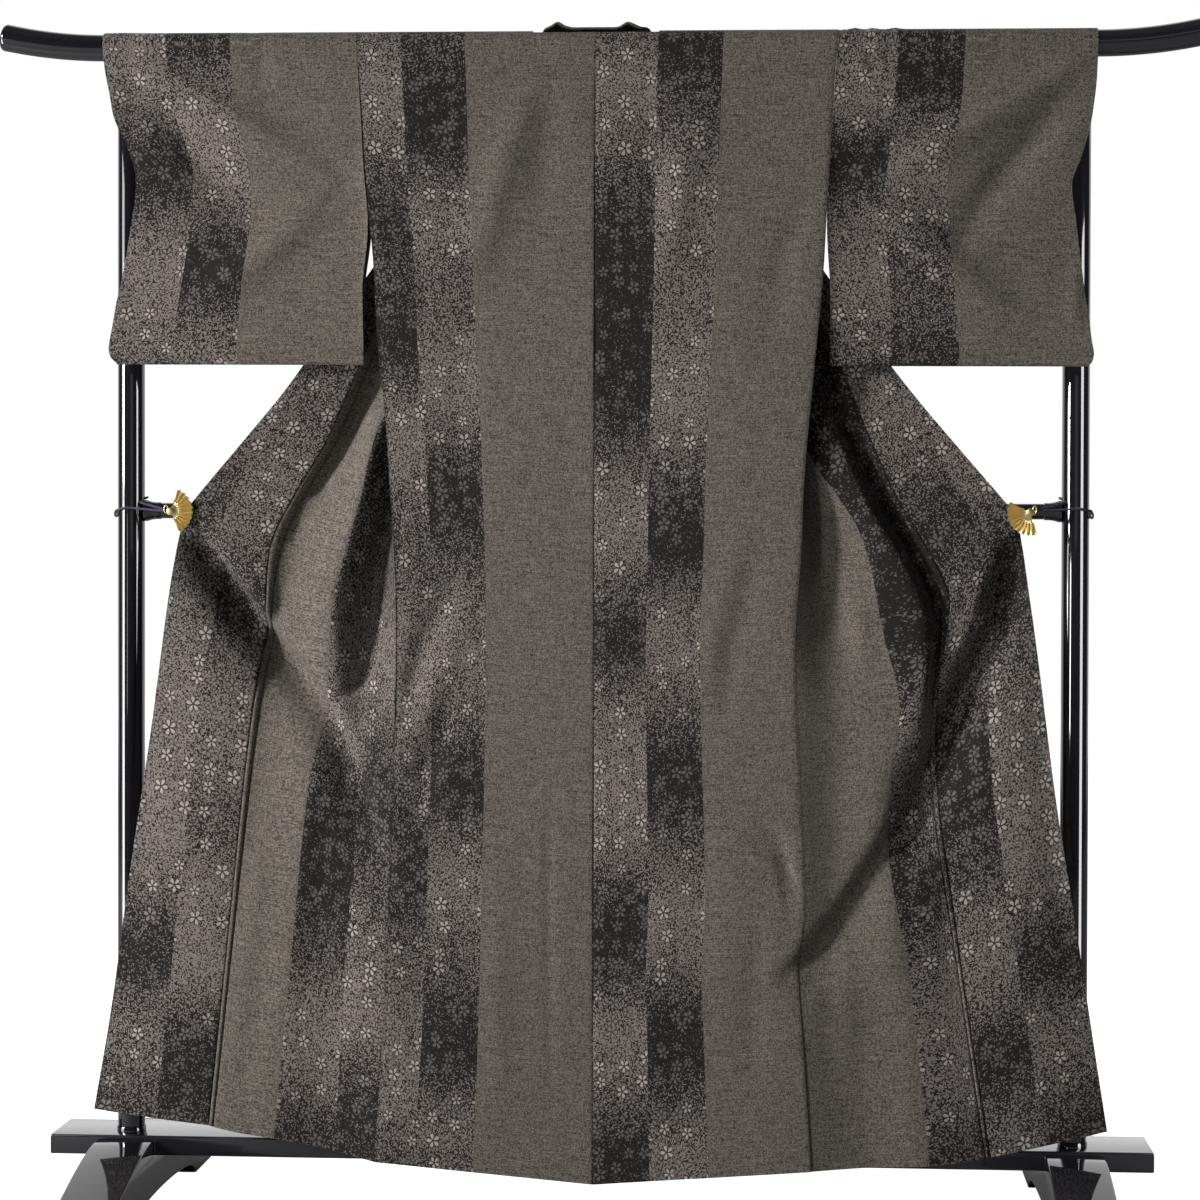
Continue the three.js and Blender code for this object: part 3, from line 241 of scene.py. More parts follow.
# Creases of the finished cloth: depth away from the face, width, and the chain of (out, up) that
# each one follows.
CREASES: dict[tuple[Part, Side], tuple[Crease, ...]] = {
    (Part.FRONT, Side.LEFT): (
        (4, 8, ((377, 723), (344, 746), (300, 789))), (-3.5, 8, ((290, 796), (323, 732))),
        (-3.5, 8, ((297, 1128), (313, 1075), (326, 1020), (344, 960))),
        (4, 9, ((306, 1211), (368, 1079), (431, 973))), (2.5, 12, ((418, 929), (463, 816), (477, 731))),
        (-2.5, 16, ((516, 929), (538, 731), (528, 505))), (2.0, 14, ((374, 648), (391, 450), (416, 252))),
        (-2.0, 14, ((466, 562), (488, 364), (508, 223))), (-1.5, 12, ((313, 480), (329, 312), (351, 170))),
        (3, 5, ((585, 971), (552, 950), (519, 908))), (2.5, 5, ((582, 957), (565, 915), (551, 858))),
        (2, 4, ((594, 946), (585, 872), (579, 816))),
    ),
    (Part.OKUMI, Side.LEFT): (
        (2.0, 14, ((631, 731), (638, 518), (663, 334))),
    ),
    (Part.BACK, Side.LEFT): (
        (1.4, 5, ((61, 638), (63, 458), (58, 179))), (1.6, 4, ((68, 631), (93, 603))),
        (2.2, 12, ((199, 896), (229, 818), (270, 708))), (-1.6, 12, ((173, 874), (206, 779), (245, 679))),
        (2.0, 11, ((199, 727), (228, 637), (252, 560))), (-2.0, 18, ((90, 1580), (132, 1455), (159, 1345))),
        (1.6, 16, ((49, 1621), (69, 1497), (76, 1386))), (1.5, 20, ((173, 1290), (184, 1124), (173, 957))),
        (1.6, 16, ((228, 456), (242, 316), (236, 190))), (-1.2, 16, ((130, 485), (138, 317), (132, 164))),
        (1.8, 16, ((292, 1456), (257, 1372), (229, 1249))),
    ),
    (Part.SLEEVE, Side.LEFT): (
        (-2.5, 16, ((673, 1645), (553, 1568), (412, 1484))),
        (-2.5, 18, ((371, 1429), (456, 1360), (555, 1293))),
        (2.2, 16, ((626, 1556), (541, 1457), (498, 1346))), (2.5, 6, ((333, 1460), (360, 1468), (383, 1485))),
        (2.0, 6, ((335, 1449), (363, 1435), (388, 1410))), (1.6, 12, ((652, 1624), (658, 1526), (649, 1456))),
        (-2.0, 8, ((687, 1346), (670, 1294), (673, 1246))),
        (1.2, 10, ((482, 1651), (465, 1609), (457, 1553))),
    ),
    (Part.FRONT, Side.RIGHT): (
        (5, 6.5, ((304, 1199), (353, 1112), (402, 1014), (451, 917), (480, 852), (476, 792), (463, 714))),
        (-4, 9, ((294, 1076), (323, 1037), (353, 999))), (-2.5, 12, ((337, 931), (365, 848), (376, 765))),
        (2.2, 14, ((424, 654), (431, 487), (446, 321))), (-2.2, 14, ((504, 682), (518, 516), (535, 350))),
        (3, 5, ((573, 955), (540, 890), (509, 820))), (2.4, 5, ((577, 943), (561, 876), (550, 807))),
        (-1.8, 14, ((355, 543), (349, 376), (356, 210))), (3, 5, ((282, 370), (303, 381), (322, 396))),
        (2, 4, ((277, 349), (298, 345), (317, 348))),
    ),
    (Part.OKUMI, Side.RIGHT): (
        (2.0, 14, ((616, 738), (633, 531), (659, 351))),
    ),
    (Part.BACK, Side.RIGHT): (
        (1.6, 4, ((51, 674), (67, 639))), (2.2, 5, ((256, 543), (270, 503), (283, 459))),
        (-1.4, 6, ((242, 530), (253, 489), (264, 441))), (-1.8, 18, ((145, 1579), (118, 1455), (97, 1331))),
        (1.6, 16, ((62, 1620), (79, 1496), (85, 1386))), (1.8, 14, ((230, 931), (195, 820), (183, 710))),
        (-1.4, 14, ((202, 958), (168, 848), (153, 737))), (1.4, 18, ((148, 599), (154, 460), (146, 321))),
        (-1.2, 16, ((79, 459), (85, 307), (80, 181))), (1.8, 16, ((296, 1455), (264, 1359), (245, 1247))),
        (1.4, 14, ((231, 433), (221, 308), (226, 198))),
    ),
    (Part.SLEEVE, Side.RIGHT): (
        (-2.5, 16, ((677, 1631), (569, 1550), (419, 1468))),
        (-2.5, 18, ((379, 1428), (461, 1360), (557, 1288))),
        (2.2, 16, ((637, 1551), (556, 1469), (502, 1360))), (2.5, 6, ((323, 1464), (349, 1472), (373, 1489))),
        (2.0, 6, ((324, 1450), (351, 1437), (376, 1412))), (-2.6, 5, ((263, 1660), (266, 1641), (263, 1606))),
        (-2.8, 5, ((298, 1660), (303, 1638), (312, 1597))), (2.0, 5, ((282, 1658), (283, 1638), (288, 1611))),
        (-2.6, 6, ((356, 1660), (360, 1632), (373, 1586))),
        (-2.2, 5, ((379, 1660), (385, 1638), (397, 1602))),
        (-2.0, 6, ((410, 1660), (415, 1640), (424, 1613))), (1.8, 7, ((329, 1657), (333, 1635), (337, 1602))),
        (-2.0, 8, ((669, 1360), (658, 1306), (664, 1247))),
    ),
}

# Shade of the two flower columns along the cloth, in percent from the dark end to the light one.
TONES: dict[tuple[Part, Side], tuple[Rows, Rows]] = {  # (at, tone) of column 1, then of column 2
    (Part.BACK, Side.LEFT): (
        ((0, 70), (113, 95), (252, 15), (340, 30), (446, 10), (557, 90), (700, 40), (891, 90),
         (1040, 55), (1169, 10), (1300, 55), (1461, 95), (1600, 40)),
        ((0, 35), (140, 2), (265, 85), (363, 50), (488, 95), (641, 5), (760, 50),
         (850, 80), (950, 50), (1058, 5), (1175, 85), (1290, 50), (1419, 5), (1530, 75),
         (1600, 50)),
    ),
    (Part.BACK, Side.RIGHT): (
        ((0, 60), (97, 95), (260, 12), (410, 2), (535, 15), (681, 95), (835, 10),
         (940, 75), (1030, 95), (1120, 80), (1205, 12), (1283, 10), (1397, 95), (1550, 2),
         (1600, 10)),
        ((0, 15), (35, 5), (130, 45), (230, 90), (368, 70), (510, 95), (702, 2),
         (835, 85), (940, 45), (1044, 5), (1237, 95), (1394, 2), (1558, 90), (1600, 80)),
    ),
    (Part.FRONT, Side.LEFT): (
        ((0, 50), (400, 20), (560, 70), (700, 20), (900, 75), (1080, 10), (1250, 55),
         (1400, 85), (1500, 20), (1600, 10)),
        ((0, 50), (400, 60), (560, 10), (760, 50), (900, 85), (1000, 75), (1160, 5),
         (1310, 30), (1440, 98), (1560, 30), (1600, 10)),
    ),
    (Part.FRONT, Side.RIGHT): (
        ((0, 50), (400, 60), (600, 10), (800, 60), (980, 20), (1150, 80), (1300, 20),
         (1450, 80), (1600, 20)),
        ((0, 50), (400, 20), (700, 5), (880, 10), (1000, 85), (1120, 60), (1200, 10),
         (1360, 85), (1480, 80), (1600, 10)),
    ),
    (Part.OKUMI, Side.LEFT): (
        ((230, 20), (560, 75), (650, 80), (735, 50), (850, 55), (960, 80), (1100, 95),
         (1250, 90), (1386, 10), (1490, 75), (1600, 30)),
        ((230, 60), (600, 50), (760, 80), (900, 20), (960, 60), (1090, 90), (1190, 55),
         (1280, 90), (1400, 95), (1510, 10), (1600, 25)),
    ),
    (Part.OKUMI, Side.RIGHT): (
        ((230, 40), (560, 20), (640, 70), (720, 80), (860, 10), (960, 30), (1080, 85),
         (1240, 90), (1370, 15), (1470, 80), (1600, 10)),
        ((230, 60), (600, 80), (760, 20), (880, 60), (960, 80), (1060, 10), (1160, 10),
         (1350, 85), (1480, 10), (1570, 60), (1600, 60)),
    ),
    (Part.SLEEVE, Side.LEFT): (
        ((0, 85), (45, 90), (100, 60), (190, 10), (300, 90), (370, 95), (460, 60)),
        ((0, 5), (85, 80), (160, 90), (215, 75), (320, 2), (430, 75), (460, 80)),
    ),
    (Part.SLEEVE, Side.RIGHT): (
        ((0, 50), (45, 85), (105, 85), (168, 5), (250, 60), (335, 95), (460, 40)),
        ((0, 40), (65, 5), (170, 90), (215, 85), (290, 50), (375, 45), (460, 10)),
    ),
}

SHOULDER = 334.0
NECK = 88.0
LENGTH = 1600.0
ROD_Y, ROD_Z, ROD_RADIUS = -70.0, 1644.0, 18.5
ROD_CLEAR, HALF_WALL = 0.5, 0.8
WRAP = ROD_RADIUS + ROD_CLEAR + HALF_WALL
QUARTER = WRAP * math.pi / 2
BACK_Y = ROD_Y - WRAP
ROD_LEAN, LEAN_FROM, LEAN_OVER = 0.0056, 900.0, 400.0
BACK_SEAM = 0.02
OKUMI_TOP, OKUMI_WIDTH = 230.0, 150.0
COLLAR_END = 800.0
KNOTS = (88.0, 110.0, 146.0, 182.0, 258.0, 334.0)  # places across a front that its tables hold
HEM = {Side.LEFT: 88.0, Side.RIGHT: 85.0}
HEM_CENTRE = 62.0
ARMHOLE_DROP, ARMHOLE_BACK = 230.0, 33.0
SLEEVE_DROP, SLEEVE_CUFF, SLEEVE_GAP, SLEEVE_WIDTH = 443.0, 205.0, 2.2, 357.0
POST_X, POST_Y, POST_RADIUS, POST_TOP = 667.0, -20.0, 19.2, 1650.0
RAIL_Z, CUP_RADIUS = 999.0, 15.0
GAP = 0.3
CLOTH_SHARP = 60.0
SIDE_BACK: Rows = (  # at, back
    (31, 2 * WRAP), (120, 37), (ARMHOLE_DROP, ARMHOLE_BACK), (300, 15), (375, SLEEVE_GAP),
    (LENGTH, SLEEVE_GAP),
)
SLEEVE_NEAR: Rows = (  # drop, depth from the rod at the armhole, on the side of the back
    (0, WRAP), (230, WRAP), (330, 14), (425, 4), (SLEEVE_DROP, SLEEVE_GAP),
)
SLEEVE_FAR: Rows = (  # the same, on the side of the front
    (0, WRAP), (230, ARMHOLE_BACK - WRAP), (330, 9), (425, 4), (SLEEVE_DROP, SLEEVE_GAP),
)
SLEEVE_MOUTH: Rows = (  # the same, at the cuff
    (0, WRAP), (60, 12), (SLEEVE_CUFF, SLEEVE_GAP), (SLEEVE_DROP, SLEEVE_GAP),
)
SEAM_GROOVE: Rows = (  # from the okumi seam, depth, width
    (0, 1.5, 1.1), (5.5, -1.1, 3.2), (11.0, 2.0, 1.8),
)


# ------------------------------------------------------------------ small maths
def smooth(t: Array | float) -> Array:
    """Smooth step from 0 to 1."""
    u = np.clip(t, 0.0, 1.0)
    return u * u * (3 - 2 * u)


def mix(a: Array | float, b: Array | float, t: Array | float) -> Array:
    """Value at share t of the way from a to b."""
    return a + (b - a) * t


def bell(far: Array | float, width: Array | float) -> Array:
    """Bump of height 1 that fades over its width."""
    return np.exp(-(far / width) ** 2)


def slopes(x: Array, y: Array) -> Array:
    """Slope at each point of a run, from the points beside it.

    Args:
        x: rising positions.
        y: values at them, along the last axis.

    Returns:
        The slopes.
    """
    n = len(x)
    before, after = np.maximum(np.arange(n) - 1, 0), np.minimum(np.arange(n) + 1, n - 1)
    return (y[..., after] - y[..., before]) / (x[after] - x[before])


def hermite(t: Array, h: Array, ends: tuple[Array, Array], tilts: tuple[Array, Array]) -> Array:
    """Cubic between two ends.

    Args:
        t: share of the way.
        h: length of the stretch.
        ends: values at its two ends.
        tilts: slopes there.

    Returns:
        The values at the share.
    """
    t2, t3 = t * t, t * t * t
    return ((2 * t3 - 3 * t2 + 1) * ends[0] + (t3 - 2 * t2 + t) * h * tilts[0]
            + (3 * t2 - 2 * t3) * ends[1] + (t3 - t2) * h * tilts[1])


class Track:
    """Smooth curve through points, flat beyond its ends."""

    def __init__(self, x: Sequence[float], y: Sequence[float]) -> None:
        """Keeps the points and their slopes.

        Args:
            x: rising positions.
            y: values at them.
        """
        self.x, self.y = np.asarray(x, float), np.asarray(y, float)
        self.slope = slopes(self.x, self.y)

    def __call__(self, at: Array | float) -> Array:
        """Value of the curve.

        Args:
            at: positions.

        Returns:
            The values there.
        """
        x = np.clip(np.asarray(at, float), self.x[0], self.x[-1])
        i = np.clip(np.searchsorted(self.x, x, side="right") - 1, 0, len(self.x) - 2)
        h = self.x[i + 1] - self.x[i]
        return hermite((x - self.x[i]) / h, h, (self.y[i], self.y[i + 1]), (self.slope[i], self.slope[i + 1]))


def track(table: Rows, key: int, column: int) -> Track:
    """Curve of one column of a table over another."""
    return Track([r[key] for r in table], [r[column] for r in table])


def across(knots: Sequence[float], values: Array, at: Array) -> Array:
    """Smooth curve across the cloth in every row at once.

    Args:
        knots: rising places across the cloth.
        values: a row of values at the knots for each row of the grid.
        at: places to read, for each row or for all of them.

    Returns:
        The values there, a row for each row.
    """
    x = np.asarray(knots, float)
    slope = slopes(x, values)
    at = np.broadcast_to(np.clip(at, x[0], x[-1]), (values.shape[0], np.shape(at)[-1]))
    i = np.clip(np.searchsorted(x, at, side="right") - 1, 0, len(x) - 2)
    h = x[i + 1] - x[i]
    ends = (np.take_along_axis(values, i, axis=1), np.take_along_axis(values, i + 1, axis=1))
    tilts = (np.take_along_axis(slope, i, axis=1), np.take_along_axis(slope, i + 1, axis=1))
    return hermite((at - x[i]) / h, h, ends, tilts)


def to_segment(out: Array, up: Array, a: Sequence[float], b: Sequence[float]) -> tuple[Array, Array]:
    """Nearest place on a segment.

    Args:
        out: sideways places.
        up: heights.
        a: start of the segment.
        b: its end.

    Returns:
        The share of the segment's length and the distance.
    """
    dx, dz = b[0] - a[0], b[1] - a[1]
    t = np.clip(((out - a[0]) * dx + (up - a[1]) * dz) / (dx * dx + dz * dz), 0, 1)
    return t, np.hypot(out - a[0] - dx * t, up - a[1] - dz * t)


def lean(points: Array) -> Array:
    """The garment with its rod a little lower on the right.

    Args:
        points: places in millimetres.

    Returns:
        The same places, moved down or up.
    """
    moved = np.array(points, float)
    moved[..., 2] -= ROD_LEAN * moved[..., 0] * smooth((moved[..., 2] - LEAN_FROM) / LEAN_OVER)
    return moved


def together(*columns: Array) -> Array:
    """Arrays spread over one grid, side by side in its last axis."""
    return np.stack(np.broadcast_arrays(*columns), axis=-1)


def circle(count: int) -> Array:
    """Angles once round, without the last."""
    return np.linspace(0, 2 * math.pi, count, endpoint=False)


# ------------------------------------------------------------------ meshes
def new_object(name: str, points: Array, faces: Faces, material: Material,
               angle: float = 40.0) -> Object:
    """Mesh object at the origin, smooth but for its sharp corners.

    Args:
        name: name of the piece.
        points: places in millimetres.
        faces: corners of each face.
        material: its finish.
        angle: corners sharper than this many degrees stay sharp.

    Returns:
        The object, riding on the root body.
    """
    mesh = bpy.data.meshes.new(name)
    mesh.from_pydata((np.asarray(points, float) * MM).tolist(), [], [tuple(f) for f in faces])
    return finish_object(name, mesh, material, angle)


def finish_object(name: str, mesh: bpy.types.Mesh, material: Material,
                  angle: float = 40.0) -> Object:
    """Object of a finished mesh, riding on the root body.

    Args:
        name: name of the piece.
        mesh: its mesh, in metres.
        material: its finish.
        angle: corners sharper than this many degrees stay sharp.

    Returns:
        The object.
    """
    mesh.validate()
    mesh.shade_smooth()
    mesh.set_sharp_from_angle(angle=math.radians(angle))
    if not mesh.materials:
        mesh.materials.append(material)
    obj = bpy.data.objects.new(name, mesh)
    bpy.context.scene.collection.objects.link(obj)
    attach(obj, "root")
    LOG.info("%s: %d faces", name, len(mesh.polygons))
    return obj


def redress(node: str, material: Material) -> None:
    """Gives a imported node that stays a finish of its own."""
    finishes = bpy.data.objects[node].data.materials
    finishes.clear()
    finishes.append(material)


def outward(points: Array, faces: Array) -> Array:
    """Faces turned so that a closed mesh has its faces out.

    Args:
        points: places.
        faces: three or four corners of each face.

    Returns:
        The faces, all turned round where they pointed in.
    """
    a, b, c = (points[faces[:, k]] for k in range(3))
    volume = float(np.einsum("ij,ij->i", a, np.cross(b, c)).sum())
    if faces.shape[1] == 4:
        d = points[faces[:, 3]]
        volume += float(np.einsum("ij,ij->i", a, np.cross(c, d)).sum())
    return faces[:, ::-1] if volume < 0 else faces


def flipped(faces: Faces) -> list[Face]:
    """Faces turned round."""
    return [tuple(f)[::-1] for f in faces]


@dataclass
class Shell:
    """Thin closed wall with a grid of points as its middle."""

    name: str
    points: Array
    keep: Array
    wall: float
    uv: Array
    tone: Array
    wrap: bool = False

    def normals(self) -> Array:
        """Mean normal at each point, from the cells that are kept.

        Returns:
            A unit normal for each point of the grid.
        """
        p = self.points
        q = np.concatenate([p, p[:, :1]], axis=1) if self.wrap else p
        cell = np.cross(q[1:, 1:] - q[:-1, :-1], q[1:, :-1] - q[:-1, 1:])
        size = np.linalg.norm(cell, axis=2, keepdims=True)
        cell = np.where(size > TINY, cell / np.maximum(size, TINY), 0) * self.keep[..., None]
        total = np.zeros_like(q)
        for i, j in ((0, 0), (0, 1), (1, 0), (1, 1)):
            total[i:i + cell.shape[0], j:j + cell.shape[1]] += cell
        if self.wrap:
            total[:, 0] += total[:, -1]
            total = total[:, :-1]
        length = np.linalg.norm(total, axis=2, keepdims=True)
        return total / np.maximum(length, TINY)

    def build(self, material: Material, slot: Slot = Slot.CLOTH) -> Object:
        """Makes the wall.

        Args:
            material: its finish.
            slot: the record's material slot; not used.

        Returns:
            The object, with its cut as UV map and, as attribute, the shade of the columns and the painted
            shade of the seams.
        """
        rows, cols = self.points.shape[:2]
        shift = self.normals() * (self.wall / 2)
        both = np.concatenate([(self.points + shift).reshape(-1, 3), (self.points - shift).reshape(-1, 3)])
        i, j = np.nonzero(self.keep)
        k = (j + 1) % cols
        grid = rows * cols
        q = np.stack([i * cols + j, (i + 1) * cols + j, (i + 1) * cols + k, i * cols + k], axis=1)
        edges = np.concatenate([q[:, [0, 1]], q[:, [1, 2]], q[:, [2, 3]], q[:, [3, 0]]])
        code = edges[:, 0] * grid + edges[:, 1]
        free = edges[~np.isin(edges[:, 1] * grid + edges[:, 0], code)]
        rim = np.stack([free[:, 1], free[:, 0], free[:, 0] + grid, free[:, 1] + grid], axis=1)
        faces = outward(both, np.concatenate([q, q[:, ::-1] + grid, rim]))
        used, packed = np.unique(faces, return_inverse=True)
        faces = packed.reshape(faces.shape)
        mesh = bpy.data.meshes.new(self.name)
        mesh.from_pydata((lean(both[used]) * MM).tolist(), [], faces.tolist())
        place = used % grid
        layer = mesh.uv_layers.new(name="cut")
        corner = np.empty(len(mesh.loops), np.int64)
        mesh.loops.foreach_get("vertex_index", corner)
        flat = (self.uv.reshape(-1, 2)[place] * MM)[corner]
        layer.data.foreach_set("uv", flat.astype(np.float32).ravel())
        shade = mesh.attributes.new("tone", "FLOAT_VECTOR", "POINT")
        shade.data.foreach_set("vector", self.tone.reshape(-1, 3)[place].astype(np.float32).ravel())
        return finish_object(self.name, mesh, material, CLOTH_SHARP)


def ring_faces(rings: int, sides: int, closed: bool = False) -> list[Face]:
    """Faces of a sweep of rings, with an end cap at each free end.

    Args:
        rings: number of rings.
        sides: points in each.
        closed: the last ring joins the first.

    Returns:
        The corners of each face.
    """
    faces: list[Face] = []
    for i in range(rings if closed else rings - 1):
        a, b = i * sides, ((i + 1) % rings) * sides
        faces += [(a + j, b + j, b + (j + 1) % sides, a + (j + 1) % sides) for j in range(sides)]
    if not closed:
        faces += [tuple(range(sides)), tuple(range((rings - 1) * sides, rings * sides))[::-1]]
    return faces


def lathe(profile: Rows, sides: int = 96) -> tuple[Array, list[Face]]:
    """Turned form about Z.

    Args:
        profile: (radius, height) of each ring, from the bottom.
        sides: points in a ring.

    Returns:
        Points in millimetres and faces.
    """
    angle = circle(sides)
    rings = [together(r * np.cos(angle), r * np.sin(angle), z) for r, z in profile]
    return np.concatenate(rings), flipped(ring_faces(len(profile), sides))


# ------------------------------------------------------------------ node trees
class Net:
    """Small helper that builds a node tree by formula."""

    def __init__(self, tree: bpy.types.NodeTree) -> None:
        """Keeps the tree."""
        self.tree = tree

    def node(self, kind: str, links: Links | None = None,
             **settings: object) -> bpy.types.Node:
        """Adds a node.

        Args:
            kind: Blender's type name.
            links: socket or constant for each of its inputs.
            settings: its properties.

        Returns:
            The node.
        """
        made = self.tree.nodes.new(kind)
        for key, value in settings.items():
            setattr(made, key, value)
        self.fill(made, links or {})
        return made

    def fill(self, node: bpy.types.Node, links: Links) -> None:
        """Feeds several inputs of a node."""
        for key, value in links.items():
            self.feed(node.inputs[key], value)

    def feed(self, socket: Socket, value: object) -> None:
        """Links a socket's input, or sets it to a constant.

        Args:
            socket: the input.
            value: an output socket, or the constant.
        """
        if isinstance(value, Socket):
            self.tree.links.new(value, socket)
        else:
            socket.default_value = value

    def math(self, operation: str, *values: object) -> Socket:
        """Result of a Math node."""
        return self.node("ShaderNodeMath", dict(enumerate(values)), operation=operation).outputs[0]

    def add(self, a: object, b: object) -> Socket:
        """Sum."""
        return self.math("ADD", a, b)

    def mul(self, a: object, b: object) -> Socket:
        """Product."""
        return self.math("MULTIPLY", a, b)

    def sub(self, a: object, b: object) -> Socket:
        """Difference."""
        return self.math("SUBTRACT", a, b)

    def ramp(self, value: object, low: float, high: float, a: float = 0.0,
             b: float = 1.0) -> Socket:
        """Smooth change from a to b while value goes from low to high."""
        links = dict(enumerate((value, low, high, a, b)))
        return self.node("ShaderNodeMapRange", links, interpolation_type="SMOOTHSTEP").outputs[0]

    def blend(self, share: object, a: object, b: object) -> Socket:
        """Colour between a and b."""
        return self.node("ShaderNodeMix", {0: share, 6: a, 7: b}, data_type="RGBA").outputs[2]

    def between(self, share: object, a: object, b: object) -> Socket:
        """Number between a and b."""
        return self.node("ShaderNodeMix", {0: share, 2: a, 3: b}, data_type="FLOAT").outputs[0]

    def vector(self, x: object, y: object, z: object = 0.0) -> Socket:
        """Vector of three numbers."""
        return self.node("ShaderNodeCombineXYZ", {0: x, 1: y, 2: z}).outputs[0]

    def vector_math(self, operation: str, links: Links) -> Socket:
        """Result of a Vector Math node."""
        return self.node("ShaderNodeVectorMath", links, operation=operation).outputs[0]

    def split(self, vector: object) -> tuple[Socket, ...]:
        """The three numbers of a vector."""
        return tuple(self.node("ShaderNodeSeparateXYZ", {0: vector}).outputs)

    def noise(self, vector: object, scale: float, detail: float = 2.0,
              rough: float = 0.5) -> Socket:
        """Noise from 0 to 1."""
        links = {"Vector": vector, "Scale": scale, "Detail": detail, "Roughness": rough}
        return self.node("ShaderNodeTexNoise", links, noise_dimensions="3D").outputs[0]

    def bump(self, height: object, strength: float, distance: float) -> Socket:
        """Normal of a relief, its distance in metres."""
        return self.node("ShaderNodeBump", {"Strength": strength, "Distance": distance,
                                            "Height": height}).outputs[0]


class PathTree(Net):
    """Geometry node tree that lays something along a curve."""

    def __init__(self, name: str) -> None:
        """Makes an empty tree with a geometry input and output.

        Args:
            name: the tree's name.
        """
        super().__init__(bpy.data.node_groups.new(name, "GeometryNodeTree"))
        for way in ("INPUT", "OUTPUT"):
            self.tree.interface.new_socket("Geometry", in_out=way, socket_type="NodeSocketGeometry")
        self.start = self.tree.nodes.new("NodeGroupInput")
        self.end = self.tree.nodes.new("NodeGroupOutput")

    def size(self, name: str, value: float) -> Socket:
        """Adds a named size with its default value."""
        item = self.tree.interface.new_socket(name, in_out="INPUT", socket_type="NodeSocketFloat")
        item.default_value = value
        return self.start.outputs[name]

    def finish(self, geometry: Socket) -> None:
        """Ends the tree in Realize Instances and Set Material.

        Args:
            geometry: what the tree has made.
        """
        self.tree.interface.new_socket("Material", in_out="INPUT", socket_type="NodeSocketMaterial")
        real = self.node("GeometryNodeRealizeInstances", {"Geometry": geometry})
        dressed = self.node("GeometryNodeSetMaterial", {"Geometry": real.outputs[0],
                                                        "Material": self.start.outputs["Material"]})
        self.tree.links.new(dressed.outputs[0], self.end.inputs[0])

    def bake(self, name: str, curve: bpy.types.Curve, material: Material,
             slot: Slot) -> Object:
        """Turns a curve with this tree into a plain mesh.

        Args:
            name: name of the finished piece.
            curve: the path.
            material: finish of the piece.
            slot: the record's material slot; not used.

        Returns:
            The finished object.
        """
        source = bpy.data.objects.new(f"{name}_path", curve)
        bpy.context.scene.collection.objects.link(source)
        modifier = source.modifiers.new("nodes", "NODES")
        modifier.node_group = self.tree
        sockets = {item.name: item.identifier for item in self.tree.interface.items_tree
                   if item.in_out == "INPUT"}
        modifier[sockets["Material"]] = material
        bpy.context.view_layer.update()
        ready = source.evaluated_get(bpy.context.evaluated_depsgraph_get())
        mesh = bpy.data.meshes.new_from_object(ready)
        mesh.name = name
        source.modifiers.remove(modifier)
        bpy.data.objects.remove(source)
        mesh.materials.clear()
        return finish_object(name, mesh, material, CLOTH_SHARP)


def principled(name: str) -> tuple[Material, Net, bpy.types.Node]:
    """Material with a Principled shader.

    Args:
        name: the material's name.

    Returns:
        The material, its net and its shader node.
    """
    material = bpy.data.materials.new(name)
    material.use_nodes = True
    shader = next(n for n in material.node_tree.nodes if n.type == "BSDF_PRINCIPLED")
    return material, Net(material.node_tree), shader


# ------------------------------------------------------------------ finishes
@dataclass(frozen=True)
class Blossoms:
    """Scatter of five-petalled blossoms of one size, in millimetres."""

    cell: float
    size: float
    seed: float
    jitter: float = 0.62
    least: float = 0.78
    growth: float = 0.35
    petals: int = 5
    middle: float = 0.58
    half_length: float = 0.42
    foot: float = 0.05
    flare: float = 0.30
    notch: float = 2.2

    def masks(self, net: Net, place: object, share: object) -> tuple[Socket, ...]:
        """Masks of the scatter.

        Args:
            net: the tree.
            place: place on the cloth in millimetres.
            share: how many of the cells hold a blossom.

        Returns:
            Mask of the petals and mask of the dark lines round them.
        """
        shifted = net.vector_math("ADD", {0: place, 1: (self.seed * 37.0, self.seed * 91.0, 0.0)})
        cells = net.node("ShaderNodeTexVoronoi", {"Vector": shifted, "Scale": 1.0 / self.cell,
                                                  "Randomness": self.jitter},
                         voronoi_dimensions="2D", feature="F1")
        away = net.vector_math("SUBTRACT", {0: shifted, 1: cells.outputs["Position"]})
        x, y, _ = net.split(away)
        chance, turn, grow = net.split(cells.outputs["Color"])
        radius = net.math("SQRT", net.add(net.mul(x, x), net.mul(y, y)))
        scale = net.add(net.mul(grow, self.growth), self.least)
        far = net.math("DIVIDE", radius, net.mul(scale, self.size))
        angle = net.add(net.math("ARCTAN2", y, x), net.mul(turn, 2 * math.pi))
        part = 2 * math.pi / self.petals
        folded = net.sub(net.math("FLOORED_MODULO", angle, part), part / 2)
        along = net.mul(far, net.math("COSINE", folded))
        beside = net.mul(far, net.math("SINE", folded))
        reach = net.math("DIVIDE", net.sub(along, self.middle), self.half_length)
        wide = net.math("DIVIDE", beside, net.add(net.mul(along, self.flare), self.foot))
        petal = net.math("SQRT", net.add(net.mul(reach, reach), net.mul(wide, wide)))
        cleft = net.sub(along, net.math("ABSOLUTE", net.mul(beside, self.notch)))
        here = net.math("LESS_THAN", chance, share)
        whole = net.mul(net.ramp(petal, 1.12, 0.82), net.ramp(cleft, 0.80, 0.90, 1.0, 0.25))
        line = net.mul(net.ramp(petal, 1.9, 1.25), net.ramp(far, 1.15, 0.95))
        return net.mul(whole, here), net.mul(line, here)


